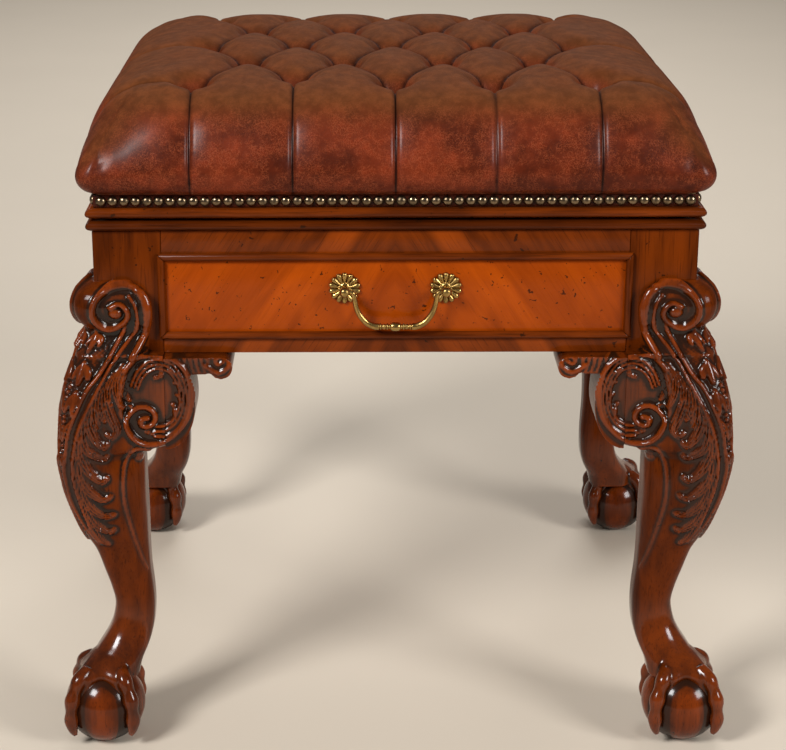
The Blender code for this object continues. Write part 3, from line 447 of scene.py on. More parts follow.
def rod(path, radii, side_way, around):
    """A round rod along a dense path that lies in one plane, whose normal is side_way."""
    path = [Vector(spot) for spot in path]
    across = Vector(side_way).normalized()
    last = len(path) - 1

    def place(turn, share):
        k = round(share * last)
        ahead = (path[min(k + 1, last)] - path[max(k - 1, 0)]).normalized()
        out = ahead.cross(across)
        angle = math.tau * turn
        return path[k] + (out * math.cos(angle) + across * math.sin(angle)) * radii[k]

    return wrapped(around, last, place)


def joined(parts):
    """One bmesh from several, which are freed."""
    bm = bmesh.new()
    for part in parts:
        mesh = bpy.data.meshes.new("part")
        part.to_mesh(mesh)
        part.free()
        bm.from_mesh(mesh)
        bpy.data.meshes.remove(mesh)
    return bm


def mesh_of(name, bm, smooth=40):
    """A mesh from a bmesh, smooth where its faces meet at less than that many degrees."""
    mesh = bpy.data.meshes.new(name)
    bm.to_mesh(mesh)
    bm.free()
    mesh.shade_smooth()
    mesh.set_sharp_from_angle(angle=math.radians(smooth))
    return mesh


def add_piece(name, mesh, material, body, nodes=()):
    piece = bpy.data.objects.new(name, mesh)
    bpy.context.scene.collection.objects.link(piece)
    mesh.materials.clear()
    mesh.materials.append(material)
    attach(piece, body)
    if nodes:
        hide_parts(*nodes)
    return piece


def remeshed(bm, size):
    """One even skin over everything in a bmesh."""
    mesh = bpy.data.meshes.new("rough")
    bm.to_mesh(mesh)
    bm.free()
    rough = bpy.data.objects.new("rough", mesh)
    bpy.context.scene.collection.objects.link(rough)
    modifier = rough.modifiers.new("skin", "REMESH")
    modifier.mode = "VOXEL"
    modifier.voxel_size = size
    graph = bpy.context.evaluated_depsgraph_get()
    skin = bpy.data.meshes.new_from_object(rough.evaluated_get(graph))
    bpy.data.objects.remove(rough)
    bpy.data.meshes.remove(mesh)
    return skin


def spots_of(mesh):
    spots = np.empty(len(mesh.vertices) * 3, np.float32)
    mesh.vertices.foreach_get("co", spots)
    return spots.reshape(-1, 3).astype(float)


def normals_of(mesh):
    normals = np.empty(len(mesh.vertices) * 3, np.float32)
    mesh.vertex_normals.foreach_get("vector", normals)
    return normals.reshape(-1, 3).astype(float)


def move_to(mesh, spots):
    mesh.vertices.foreach_set("co", spots.astype(np.float32).ravel())
    mesh.update()


def edges_of(mesh):
    ends = np.empty(len(mesh.edges) * 2, np.int32)
    mesh.edges.foreach_get("vertices", ends)
    return ends.reshape(-1, 2)


def averaged(values, ends, rounds, share=0.5):
    """Values drawn towards those of their neighbours, a few times over."""
    count = np.bincount(ends.ravel(), minlength=len(values)).astype(float)
    count = np.maximum(count, 1)
    values = values.copy()
    flat = values.ndim == 1
    for _ in range(rounds):
        total = np.zeros_like(values)
        np.add.at(total, ends[:, 0], values[ends[:, 1]])
        np.add.at(total, ends[:, 1], values[ends[:, 0]])
        mean = total / (count if flat else count[:, None])
        values += share * (mean - values)
    return values


def relaxed(mesh, rounds):
    """Smooths a skin without shrinking it."""
    ends = edges_of(mesh)
    spots = spots_of(mesh)
    for _ in range(rounds):
        spots = averaged(spots, ends, 1, 0.55)
        spots = averaged(spots, ends, 1, -0.57)
    move_to(mesh, spots)


def set_attribute(mesh, name, values):
    attribute = mesh.attributes.new(name, "FLOAT", "POINT")
    attribute.data.foreach_set("value", values.astype(np.float32))


def set_even(mesh, **values):
    """Attributes with the same value on the whole mesh."""
    for name, value in values.items():
        set_attribute(mesh, name, np.full(len(mesh.vertices), value))


def stroke_at(spots, path, steps=40):
    """Distance of spots from a smooth path, their side of it and how far along it they are."""
    line = through(path, steps) * MM
    best = np.full(len(spots), np.inf)
    share = np.zeros(len(spots))
    side = np.zeros(len(spots))
    lengths = np.linalg.norm(np.diff(line, axis=0), axis=1)
    ends = np.concatenate([[0.0], np.cumsum(lengths)])
    for k in range(len(line) - 1):
        way = line[k + 1] - line[k]
        off = spots - line[k]
        t = np.clip(off @ way / max(way @ way, 1e-12), 0.0, 1.0)
        off = off - t[:, None] * way
        distance = np.hypot(off[:, 0], off[:, 1])
        near = distance < best
        best[near] = distance[near]
        share[near] = (ends[k] + t[near] * lengths[k]) / ends[-1]
        side[near] = np.sign(way[0] * off[near, 1] - way[1] * off[near, 0])
    return best, share, side


def near_path(spots, path, margin):
    """Which spots lie in the box round a path."""
    low = np.min(path, axis=0) * MM - margin
    high = np.max(path, axis=0) * MM + margin
    return np.flatnonzero(np.all((spots > low) & (spots < high), axis=1))


def ridge(relief, spots, path, half_width, height, thin=(1.0, 1.0), steps=40):
    """Raises a rounded strand along a path. Thin gives its width at the two ends."""
    inside = near_path(spots, path, half_width * 1.5)
    if not len(inside):
        return
    distance, share, _ = stroke_at(spots[inside], path, steps)
    width = half_width * (thin[0] + (thin[1] - thin[0]) * share)
    across = np.clip(distance / width, 0, 1)
    bump = height * np.sqrt(np.maximum(1 - across**2, 0)) * smooth_step(1.0, 0.8, across)
    relief[inside] = np.maximum(relief[inside], bump * (0.6 + 0.4 * width / half_width))


def leaf(relief, spots, path, half_width, height, fluted=0.36):
    """Raises one lobe of a carved leaf: a tapering body with a rounded tip, fluted unless that is 0."""
    inside = near_path(spots, path, half_width * 2)
    if not len(inside):
        return
    distance, share, side = stroke_at(spots[inside], path, 28)
    width = half_width * (0.32 + 0.68 * np.sin(math.pi * np.clip(0.14 + 0.78 * share, 0, 1)))
    across = np.clip(distance / width, 0, 1)
    flutes = 1 - fluted + fluted * np.cos(2 * math.pi * (across * 2.2 + 0.15 * side))
    body = np.sqrt(np.maximum(1 - across**2, 0)) * flutes * smooth_step(1.0, 0.82, across)
    lift = height * (0.62 + 0.40 * share)
    relief[inside] = np.maximum(relief[inside], lift * body)


def dome(relief, spots, middle, radius, height):
    reach = np.hypot(spots[:, 0] - middle[0] * MM, spots[:, 1] - middle[1] * MM) / radius
    relief[:] = np.maximum(relief, height * np.sqrt(np.maximum(1 - reach**2, 0)))


def ear_spot(degrees, share):
    turn = math.radians(degrees)
    return (
        EAR_MIDDLE[0] + EAR_RADII[0] * share * math.cos(turn),
        EAR_MIDDLE[1] + EAR_RADII[1] * share * math.sin(turn),
    )


def strap_carving(along, height, from_corner):
    """The band down the knee's corner: husks on a rippled ground, with a row of beads on the arris."""
    edge = np.array(sorted(RIBBON_OUTER, key=lambda spot: spot[1])) * MM
    mask = smooth_step(-0.001, 0.002, np.interp(height, edge[:, 1], edge[:, 0]) - along)
    mask *= smooth_step(*STRAP_FOOT, height) * smooth_step(*STRAP_TOP, height)
    place = np.column_stack([from_corner, height])
    ground = np.sin(height * 2300) * np.sin(from_corner * 2100 + 2 * np.sin(height * 900))
    relief = -GROUND_DEPTH + GROUND_RIPPLE * ground
    husks = np.zeros(len(place))
    middle = HUSK_FROM_CORNER
    for top in HUSK_TOPS:
        size = 0.55 + 0.45 * math.sin(math.pi * (top - 185) / 210)
        tip = top - 19 * size
        for side in (-1, 1):
            bend = middle + side * 4.2 * size
            lobe = ((middle, top - 1), (bend, top - 8 * size), (bend + side * 1.4, tip + 4))
            leaf(husks, place, lobe, 3.0 * size * MM, 2.3 * MM, 0.0)
        spine = ((middle, top), (middle, top - 9 * size), (middle, tip))
        leaf(husks, place, spine, 3.4 * size * MM, 3.1 * MM, 0.0)
    bead = (np.mod(height / MM, BEAD_PITCH) - BEAD_PITCH / 2) * MM
    beads = 1.6 * MM * np.sqrt(np.maximum(1 - (bead**2 + from_corner**2) / (1.7 * MM) ** 2, 0))
    beads *= smooth_step(*BEADS_TOP, height)
    raised = [np.where(layer > 0, layer, -1) for layer in (husks, beads)]
    return mask * np.maximum.reduce([relief] + raised)


def carving(along, height, from_corner):
    """Relief of the leg's carved face, by distance along it, height and distance from the corner."""
    spots = np.column_stack([along, height])
    reach = np.hypot((along - 20 * MM) / (21 * MM), (height - 384 * MM) / (19 * MM))
    hollow = -3.4 * MM * smooth_step(1.10, 0.75, reach)
    ear_across = (along - EAR_MIDDLE[0] * MM) / (EAR_RADII[0] * MM)
    ear_up = (height - EAR_MIDDLE[1] * MM) / (EAR_RADII[1] * MM)
    reach = np.hypot(ear_across, ear_up)
    bowl = -1.6 * MM * smooth_step(0.95, 0.45, reach)
    flat = -0.155 * np.clip(POST - along, 0, 30 * MM) * smooth_step(1.20, 1.0, reach)
    raised = np.zeros(len(spots))
    ridge(raised, spots, VOLUTE, 3.3 * MM, 4.6 * MM, (0.9, 0.75), 90)
    dome(raised, spots, VOLUTE_EYE, 5.6 * MM, 4.2 * MM)
    ridge(raised, spots, RIBBON_OUTER, 1.9 * MM, 3.0 * MM, (1.0, 0.6), 90)
    ridge(raised, spots, RIBBON_INNER, 1.9 * MM, 3.2 * MM, (0.8, 0.65), 90)
    ridge(raised, spots, EAR_SCROLL, 2.9 * MM, 3.8 * MM, (0.85, 0.95), 110)
    for share, height_mm in EAR_FLUTES:
        ring = [ear_spot(degrees, share) for degrees in range(160, -120, -20)]
        ridge(raised, spots, ring, 1.75 * MM, height_mm * MM, (0.7, 0.8), 70)
    for path in EAR_LEAVES:
        leaf(raised, spots, [ear_spot(*spot) for spot in path], 3.6 * MM, 2.9 * MM)
    for path in LEAVES_ON_EAR:
        leaf(raised, spots, path, 4.6 * MM, 3.2 * MM)
    for path in LEAVES_ON_KNEE:
        leaf(raised, spots, path, 5.4 * MM, 3.4 * MM)
    ridge(raised, spots, BRACKET_SCROLL, 2.6 * MM, 2.2 * MM, (1.0, 0.7), 50)
    for flute in range(5):
        start = 68 + 4.6 * flute
        path = ((start + 3, 342), (start + 4, 336), (start + 6, 330))
        ridge(raised, spots, path, 2.0 * MM, 1.4 * MM, (1.0, 0.6), 12)
    ridge(raised, spots, INNER_BEAD, 1.5 * MM, 1.3 * MM, (1.3, 0.6), 60)
    dome(raised, spots, INNER_BUTTON, 4.2 * MM, 2.0 * MM)
    return strap_carving(along, height, from_corner) * (raised == 0) + hollow + bowl + flat + raised


def carve(mesh, along, height, from_corner, weight, shade=0.0):
    """Pushes a skin out by the carving and keeps how deep each spot lies beside its neighbours."""
    depth = bpy.context.scene.bench_carving.depth
    relief = carving(along, height, from_corner) * weight * depth
    ends = edges_of(mesh)
    relief = averaged(relief, ends, 1, 0.35)
    around = averaged(relief, ends, 22, 0.6)
    spots = spots_of(mesh)
    normals = normals_of(mesh)
    hollow = np.sum((averaged(spots, ends, 16, 0.6) - spots) * normals, axis=1)
    move_to(mesh, spots + normals * relief[:, None])
    worked = smooth_step(0.0, 0.5 * MM, averaged(np.abs(relief), ends, 22, 0.6))
    set_attribute(mesh, "shine", np.maximum(worked, smooth_step(*FOOT_SHINE, height)))
    # A low carve value gets glaze and painted shade, in recesses, in hollows and on the shank; a high one
    # gets a lighter colour, rubbed wear with painted highlight
    lie = PLAIN_WOOD + (relief - around) / FULL_RECESS - hollow / FULL_HOLLOW
    lie = lie - shade - WORKED_SHADE * worked
    set_attribute(mesh, "carve", np.clip(lie, 0, 1))


def leg_reach(height):
    """Outer and inner reach, how proud the face's inner edge is, rounding of outer corner and edges."""
    if height > LEG_HEIGHT:
        outer, inner = value_at(ROLL_CURVE, height - LEG_HEIGHT)
        return outer, inner, outer, KNEE_ROUND, EDGE_ROUND
    outer, inner = value_at(LEG_CURVE, (height - FOOT_TOP) / (LEG_HEIGHT - FOOT_TOP))
    seat = float(smooth_step(KNEE_BOTTOM - 0.003, KNEE_BOTTOM + 0.006, height))
    inner += (POST + JOINT_SPARE - inner) * seat
    fall = float(smooth_step(KNEE_BOTTOM - KNEE_FALL, KNEE_BOTTOM + KNEE_PROUD, height))
    face = outer * 0.8
    face += (KNEE_PROUD - face) * fall
    corner = ANKLE_ROUND + (KNEE_ROUND - ANKLE_ROUND) * float(smooth_step(*ROUNDING, height))
    edge = EDGE_ROUND + (SEAT_EDGE_ROUND - EDGE_ROUND) * seat
    return outer, inner, face, corner, edge


def leg_section(height):
    """One outline of the leg: a square with its outer corner well rounded."""
    outer, inner, face, corner_round, edge = leg_reach(height)
    places = ((-outer, -outer), (inner, -face), (inner, inner), (-face, inner))
    corners = [Vector(place) for place in places]
    shares = (corner_round, edge, INNER_ROUND, edge)
    ring = []
    for k, corner in enumerate(corners):
        start = corner.lerp(corners[k - 1], shares[k])
        end = corner.lerp(corners[(k + 1) % 4], shares[k])
        for n in range(12):
            t = n / 11
            spot = start.lerp(corner, t).lerp(corner.lerp(end, t), t)
            ring.append(Vector((spot.x, spot.y, height)))
    return ring


def leg_body():
    steps = 96
    top = LEG_HEIGHT + ROLL_CURVE[-1][0]
    rings = [leg_section(FOOT_TOP + (top - FOOT_TOP) * k / steps) for k in range(steps + 1)]
    count = len(rings[0])
    return wrapped(count, steps, lambda turn, share: rings[round(share * steps)][round(turn * count) % count])


def ankle_lean(height):
    """How far the ankle's middle stands in from the foot's, along each axis."""
    outer, inner, *_ = leg_reach(max(height, FOOT_TOP))
    return (inner - outer) / 2 + FOOT_OUTSET


def claw_bodies():
    """Four claws that spring from the palm and grip the ball."""
    claws = []
    for index in range(CLAW_COUNT):
        turn = math.tau * (index + 0.5) / CLAW_COUNT
        away = Vector((math.cos(turn), math.sin(turn), 0))
        path = []
        radii = []
        for reach, height, thick in through(CLAW, 46):
            shift = ankle_lean(height) * float(smooth_step(*CLAW_LEAN, height)) - FOOT_OUTSET
            path.append(Vector((shift, shift, height)) + away * reach)
            radii.append(thick)
        claws.append(rod(path, radii, away.cross((0, 0, 1)), 16))
    return claws


def palm_body():
    """The palm: it spreads from the ankle over the ball, and its rolled edge arches up between the claws."""
    rings = through(PALM, 61)
    last = len(rings) - 1

    def place(turn, share):
        height, lean, slim, wide = rings[round(share * last)]
        middle = lean * ankle_lean(height) - FOOT_OUTSET
        angle = math.tau * turn
        radius = slim + (wide - slim) * (1 - math.cos(CLAW_COUNT * angle)) / 2
        return Vector((middle + radius * math.cos(angle), middle + radius * math.sin(angle), height))

    return wrapped(64, last, place)


def ball_body():
    bm = bmesh.new()
    middle = Matrix.Translation((-FOOT_OUTSET, -FOOT_OUTSET, BALL_CENTRE))
    bmesh.ops.create_uvsphere(bm, u_segments=48, v_segments=32, radius=BALL_RADIUS, matrix=middle)
    everything = bm.verts[:] + bm.edges[:] + bm.faces[:]
    cut = bmesh.ops.bisect_plane(bm, geom=everything, plane_no=(0, 0, -1), clear_outer=True)
    rim = [item for item in cut["geom_cut"] if isinstance(item, bmesh.types.BMEdge)]
    bmesh.ops.contextual_create(bm, geom=rim)
    return bm


def grip_shade(spot):
    """How much painted shade lies on the ball beside the claws and under the palm."""
    turn = math.atan2(spot.y + FOOT_OUTSET, spot.x + FOOT_OUTSET)
    side = abs(math.cos(2 * turn))
    edge = RIM_TOP - RIM_FALL * (1 - side)
    under = float(smooth_step(edge - 0.010, edge, spot.z))
    beside = float(smooth_step(0.86, 0.50, side))
    return max(under, beside)


def post_body():
    """The leg's square post, with its arrises taken off."""
    bm = bmesh.new()
    low = Vector((0, 0, LEG_HEIGHT - 0.004))
    high = Vector((POST, POST, CASE_TOP))
    place = Matrix.Translation((low + high) / 2) @ Matrix.Diagonal((*(high - low), 1))
    bmesh.ops.create_cube(bm, size=1, matrix=place)
    take_off(bm, bm.edges[:], POST_ARRIS)
    return bm


def carved_leg():
    """One carved leg in its own frame: the case corner is the origin and both axes point inwards."""
    settings = bpy.context.scene.bench_carving
    skin = remeshed(joined([leg_body(), palm_body()] + claw_bodies()), settings.grain)
    relaxed(skin, 7)
    spots = spots_of(skin)
    normals = normals_of(skin)
    along = np.maximum(spots[:, 0], spots[:, 1])
    from_corner = np.abs(spots[:, 0] - spots[:, 1]) / math.sqrt(2)
    out = np.maximum(-normals[:, 0], -normals[:, 1])
    outer_side = smooth_step(0.030, 0.014, np.minimum(spots[:, 0], spots[:, 1]))
    weight = smooth_step(0.10, 0.50, out) * outer_side * smooth_step(*CARVING_FOOT, spots[:, 2])
    # The shank gets painted shade through a lower carve value
    shank = smooth_step(*SHANK_FOOT, spots[:, 2]) * smooth_step(*SHANK_TOP, spots[:, 2])
    carve(skin, along, spots[:, 2], from_corner, weight, SHANK_SHADE * shank)
    joint = POST + GAP / 2
    cut_flush(skin, (((joint, 0, 0), (1, 0, 0)), ((0, joint, 0), (0, 1, 0))))
    bm = joined([ball_body(), post_body()])
    layer = bm.verts.layers.float.new("carve")
    shine = bm.verts.layers.float.new("shine")
    for vert in bm.verts:
        on_ball = vert.co.z < LEG_HEIGHT / 2
        # On the ball: painted shade beside the claws and under the palm, and a lighter middle that is rubbed
        # wear with painted highlight
        vert[layer] = 0.90 - 0.80 * grip_shade(vert.co) if on_ball else PLAIN_WOOD
        vert[shine] = 0.7 if on_ball else 0.0
    bm.from_mesh(skin)
    bpy.data.meshes.remove(skin)
    return mesh_of("carved_leg", bm, 60)


def at_corner(index):
    """From a leg's own frame to the bench."""
    side = 1 if index in (1, 2) else -1
    end = 1 if index in (2, 3) else -1
    corner = Matrix.Translation((side * HALF_WIDTH, end * HALF_DEPTH, 0))
    return corner @ Matrix.Rotation(index * math.pi / 2, 4, "Z")


def knee_outline():
    """Outline of a knee block beside the leg: distance from the corner, height."""
    joint = POST - JOINT_SPARE
    half = (LEG_HEIGHT - KNEE_BOTTOM) / 2
    middle = LEG_HEIGHT - half
    curl = (POST + CURL_REACH - CURL_RADIUS, LEG_HEIGHT - GAP - CURL_RADIUS)
    points = [(joint, LEG_HEIGHT + 0.003)]
    for k in range(17):
        turn = math.radians(90 - 15 * k)
        points.append((curl[0] + CURL_RADIUS * math.cos(turn), curl[1] + CURL_RADIUS * math.sin(turn)))
    for k in range(17):
        turn = math.radians(38 - 8 * k)
        points.append((POST + BLOCK_REACH * math.cos(turn), middle + half * math.sin(turn)))
    points.append((joint, KNEE_BOTTOM))
    return points


def carved_knee_block():
    """One knee block in the frame of its leg, on the leg's front face."""
    settings = bpy.context.scene.bench_carving
    bm = bmesh.new()
    face = bm.faces.new([bm.verts.new((along, BLOCK_DEPTH, height)) for along, height in knee_outline()])
    made = bmesh.ops.extrude_face_region(bm, geom=[face])
    moved = [item for item in made["geom"] if isinstance(item, bmesh.types.BMVert)]
    bmesh.ops.translate(bm, verts=moved, vec=(0, -BLOCK_DEPTH - KNEE_PROUD, 0))
    bmesh.ops.recalc_face_normals(bm, faces=bm.faces)
    skin = remeshed(bm, settings.grain)
    relaxed(skin, 3)
    spots = spots_of(skin)
    weight = smooth_step(0.35, 0.85, -normals_of(skin)[:, 1])
    carve(skin, spots[:, 0], spots[:, 2], spots[:, 0] + 1.0, weight)
    cut_flush(skin, (((POST + GAP / 2, 0, 0), (-1, 0, 0)), ((0, 0, LEG_HEIGHT - GAP), (0, 0, 1))))
    skin.shade_smooth()
    skin.set_sharp_from_angle(angle=math.radians(60))
    return skin


def cut_flush(mesh, places):
    """Cuts a carved skin off at planes, each given by a spot and the way that is cut away."""
    bm = bmesh.new()
    bm.from_mesh(mesh)
    for spot, way in places:
        everything = bm.verts[:] + bm.edges[:] + bm.faces[:]
        bmesh.ops.bisect_plane(bm, geom=everything, plane_co=spot, plane_no=way, clear_outer=True)
        fill_holes(bm)
    bm.to_mesh(mesh)
    bm.free()


def turned_copy(mesh, name, matrix):
    copy = mesh.copy()
    copy.name = name
    copy.transform(matrix)
    if matrix.determinant() < 0:
        copy.flip_normals()
    return copy


def refined(node, bevel, angle=50):
    """A copy of a node's solid with its arrises taken off."""
    bm = bmesh.new()
    bm.from_mesh(frame["nodes"][node].data)
    bmesh.ops.remove_doubles(bm, verts=bm.verts, dist=1e-6)
    bmesh.ops.dissolve_limit(bm, angle_limit=math.radians(0.5), verts=bm.verts, edges=bm.edges)
    sharp = [edge for edge in bm.edges if edge.is_manifold and edge.calc_face_angle() > math.radians(angle)]
    take_off(bm, sharp, bevel)
    return mesh_of(node, bm, 35)


class Shading:
    """A small helper that adds nodes to a tree and links them."""

    def __init__(self, tree):
        self.tree = tree

    def add(self, kind, inputs=None, **settings):
        node = self.tree.nodes.new(kind)
        for name, value in settings.items():
            setattr(node, name, value)
        for socket, value in (inputs or {}).items():
            self.feed(node.inputs[socket], value)
        return node

    def feed(self, socket, value):
        if isinstance(value, bpy.types.NodeSocket):
            self.tree.links.new(value, socket)
        else:
            socket.default_value = value

    def ramp(self, value, stops):
        node = self.add("ShaderNodeValToRGB", {0: value})
        elements = node.color_ramp.elements
        while len(elements) < len(stops):
            elements.new(0.5)
        for element, (place, colour) in zip(elements, stops):
            element.position = place
            element.color = (*colour, 1)
        return node.outputs[0]

    def fade(self, value, low, high):
        """0 at low and 1 at high."""
        node = self.add("ShaderNodeMapRange", {0: value, 1: low, 2: high}, interpolation_type="SMOOTHSTEP")
        return node.outputs[0]

    def mix(self, share, first, second, blend="MIX"):
        node = self.add("ShaderNodeMix", data_type="RGBA", blend_type=blend)
        self.feed(node.inputs[0], share)
        self.feed(node.inputs[6], first)
        self.feed(node.inputs[7], second)
        return node.outputs[2]

    def math(self, operation, first, second):
        return self.add("ShaderNodeMath", {0: first, 1: second}, operation=operation).outputs[0]

    def between(self, value, low, high, full=1.0):
        """Low where the value is 0 and high where it is full."""
        return self.add("ShaderNodeMapRange", {0: value, 2: full, 3: low, 4: high}).outputs[0]

    def place(self):
        return self.add("ShaderNodeTexCoord").outputs["Object"]

    def attribute(self, name):
        return self.add("ShaderNodeAttribute", attribute_name=name).outputs["Fac"]

    def stretch(self, vector, along):
        """Coordinates that run slower along Z, so that a pattern is longer there."""
        inputs = {0: vector, 1: (1, 1, along)}
        return self.add("ShaderNodeVectorMath", inputs, operation="MULTIPLY").outputs[0]

    def noise(self, vector, scale, detail, roughness=0.5, distortion=0.0):
        inputs = {"Vector": vector, "Scale": scale, "Detail": detail, "Roughness": roughness}
        inputs["Distortion"] = distortion
        return self.add("ShaderNodeTexNoise", inputs)

    def bump(self, height, strength, distance):
        inputs = {"Height": height, "Strength": strength, "Distance": distance}
        return self.add("ShaderNodeBump", inputs).outputs[0]

    def finish(self, surface, **inputs):
        """Feeds a surface, its sockets named in lower case with low lines."""
        sockets = {socket.name.lower().replace(" ", "_"): socket for socket in surface.inputs}
        for name, value in inputs.items():
            self.feed(sockets[name], value)


def new_group(name, inputs, outputs):
    """An empty node group with named sockets: the shading helper, what comes in and what goes out."""
    group = bpy.data.node_groups.new(name, "ShaderNodeTree")
    for label, kind, value in inputs:
        socket = group.interface.new_socket(name=label, in_out="INPUT", socket_type=kind)
        if value is not None:
            socket.default_value = value
    for label, kind in outputs:
        group.interface.new_socket(name=label, in_out="OUTPUT", socket_type=kind)
    shading = Shading(group)
    return shading, shading.add("NodeGroupInput").outputs, shading.add("NodeGroupOutput").inputs


def wood_grain_group():
    """Streaks, pores and broad figure of wood whose grain runs along Z."""
    if "wood_grain" in bpy.data.node_groups:
        return bpy.data.node_groups["wood_grain"]
    inputs = (
        ("Vector", "NodeSocketVector", None),
        ("Fine", "NodeSocketFloat", 90.0),
        ("Broad", "NodeSocketFloat", 14.0),
    )
    outputs = (("Streak", "NodeSocketFloat"), ("Pores", "NodeSocketFloat"), ("Figure", "NodeSocketFloat"))
    s, source, sink = new_group("wood_grain", inputs, outputs)
    long = s.stretch(source["Vector"], 0.10)
    longer = s.stretch(source["Vector"], 0.035)
    soft = s.stretch(source["Vector"], 0.45)
    streak = s.noise(long, source["Fine"], 5.0, 0.62, 0.5)
    pore_scale = s.math("MULTIPLY", source["Fine"], 9.0)
    pores = s.noise(longer, pore_scale, 2.0)
    figure = s.noise(soft, source["Broad"], 3.0, distortion=1.1)
    s.feed(sink["Streak"], streak.outputs["Fac"])
    s.feed(sink["Pores"], s.fade(pores.outputs["Fac"], 0.56, 0.70))
    s.feed(sink["Figure"], figure.outputs["Fac"])
    return s.tree


def glaze_and_shade_group():
    """Dark glaze with painted shade in recesses, and lighter high spots: rubbed wear with painted highlight.
    """
    if "aged_glaze" in bpy.data.node_groups:
        return bpy.data.node_groups["aged_glaze"]
    inputs = (
        ("Color", "NodeSocketColor", None),
        ("Glaze", "NodeSocketColor", None),
        ("Carve", "NodeSocketFloat", 0.5),
        ("Patch", "NodeSocketFloat", 0.5),
    )
    outputs = (("Color", "NodeSocketColor"), ("Recess", "NodeSocketFloat"))
    s, source, sink = new_group("aged_glaze", inputs, outputs)
    # Dark glaze with painted shade where the carve value is low
    recess = s.fade(source["Carve"], 0.58, 0.32)
    patchy = s.math("MULTIPLY", recess, s.fade(source["Patch"], -0.4, 0.75))
    # Lighter where the carve value is high: rubbed wear with painted highlight
    brighter = s.mix(1.0, source["Color"], (1.5, 1.4, 1.3, 1), "MULTIPLY")
    rubbed_and_highlit = s.mix(s.fade(source["Carve"], 0.62, 1.0), source["Color"], brighter)
    s.feed(sink["Color"], s.mix(patchy, rubbed_and_highlit, source["Glaze"]))
    s.feed(sink["Recess"], recess)
    return s.tree


def specks_group():
    """Small dark specks and dents of an old polish."""
    if "old_specks" in bpy.data.node_groups:
        return bpy.data.node_groups["old_specks"]
    inputs = (
        ("Vector", "NodeSocketVector", None),
        ("Scale", "NodeSocketFloat", 120.0),
        ("Amount", "NodeSocketFloat", 0.5),
    )
    s, source, sink = new_group("old_specks", inputs, (("Speck", "NodeSocketFloat"),))
    warped = s.noise(source["Vector"], 260.0, 1.0)
    bent = s.mix(0.012, source["Vector"], warped.outputs["Color"], "ADD")
    cells = s.add("ShaderNodeTexVoronoi", {"Vector": bent, "Scale": source["Scale"]}, feature="F1")
    chance = s.add("ShaderNodeSeparateColor", {0: cells.outputs["Color"]}).outputs[0]
    limit = s.math("MULTIPLY", s.fade(chance, s.math("SUBTRACT", 1.0, source["Amount"]), 1.0), 0.30)
    s.feed(sink["Speck"], s.math("LESS_THAN", cells.outputs["Distance"], limit))
    return s.tree


def new_material(name):
    material = bpy.data.materials.new(name)
    material.use_nodes = True
    shading = Shading(material.node_tree)
    return material, shading, material.node_tree.nodes["Principled BSDF"]


def colour(value, scale=1.0):
    return (value[0] * scale, value[1] * scale, value[2] * scale, 1)


def grain_vector(s, turn):
    """Object coordinates turned so that the grain runs along Z. A feather mirrors on the bench's middle."""
    place = s.place()
    if turn == FEATHER:
        place = s.add("ShaderNodeVectorMath", {0: place}, operation="ABSOLUTE").outputs[0]
    return s.add("ShaderNodeMapping", {"Vector": place, "Rotation": turn}).outputs[0]


ALONG_Z = (0.0, 0.0, 0.0)
ALONG_X = (0.0, math.radians(90), 0.0)
ALONG_Y = (math.radians(90), 0.0, 0.0)
FEATHER = (0.0, math.radians(32), 0.0)


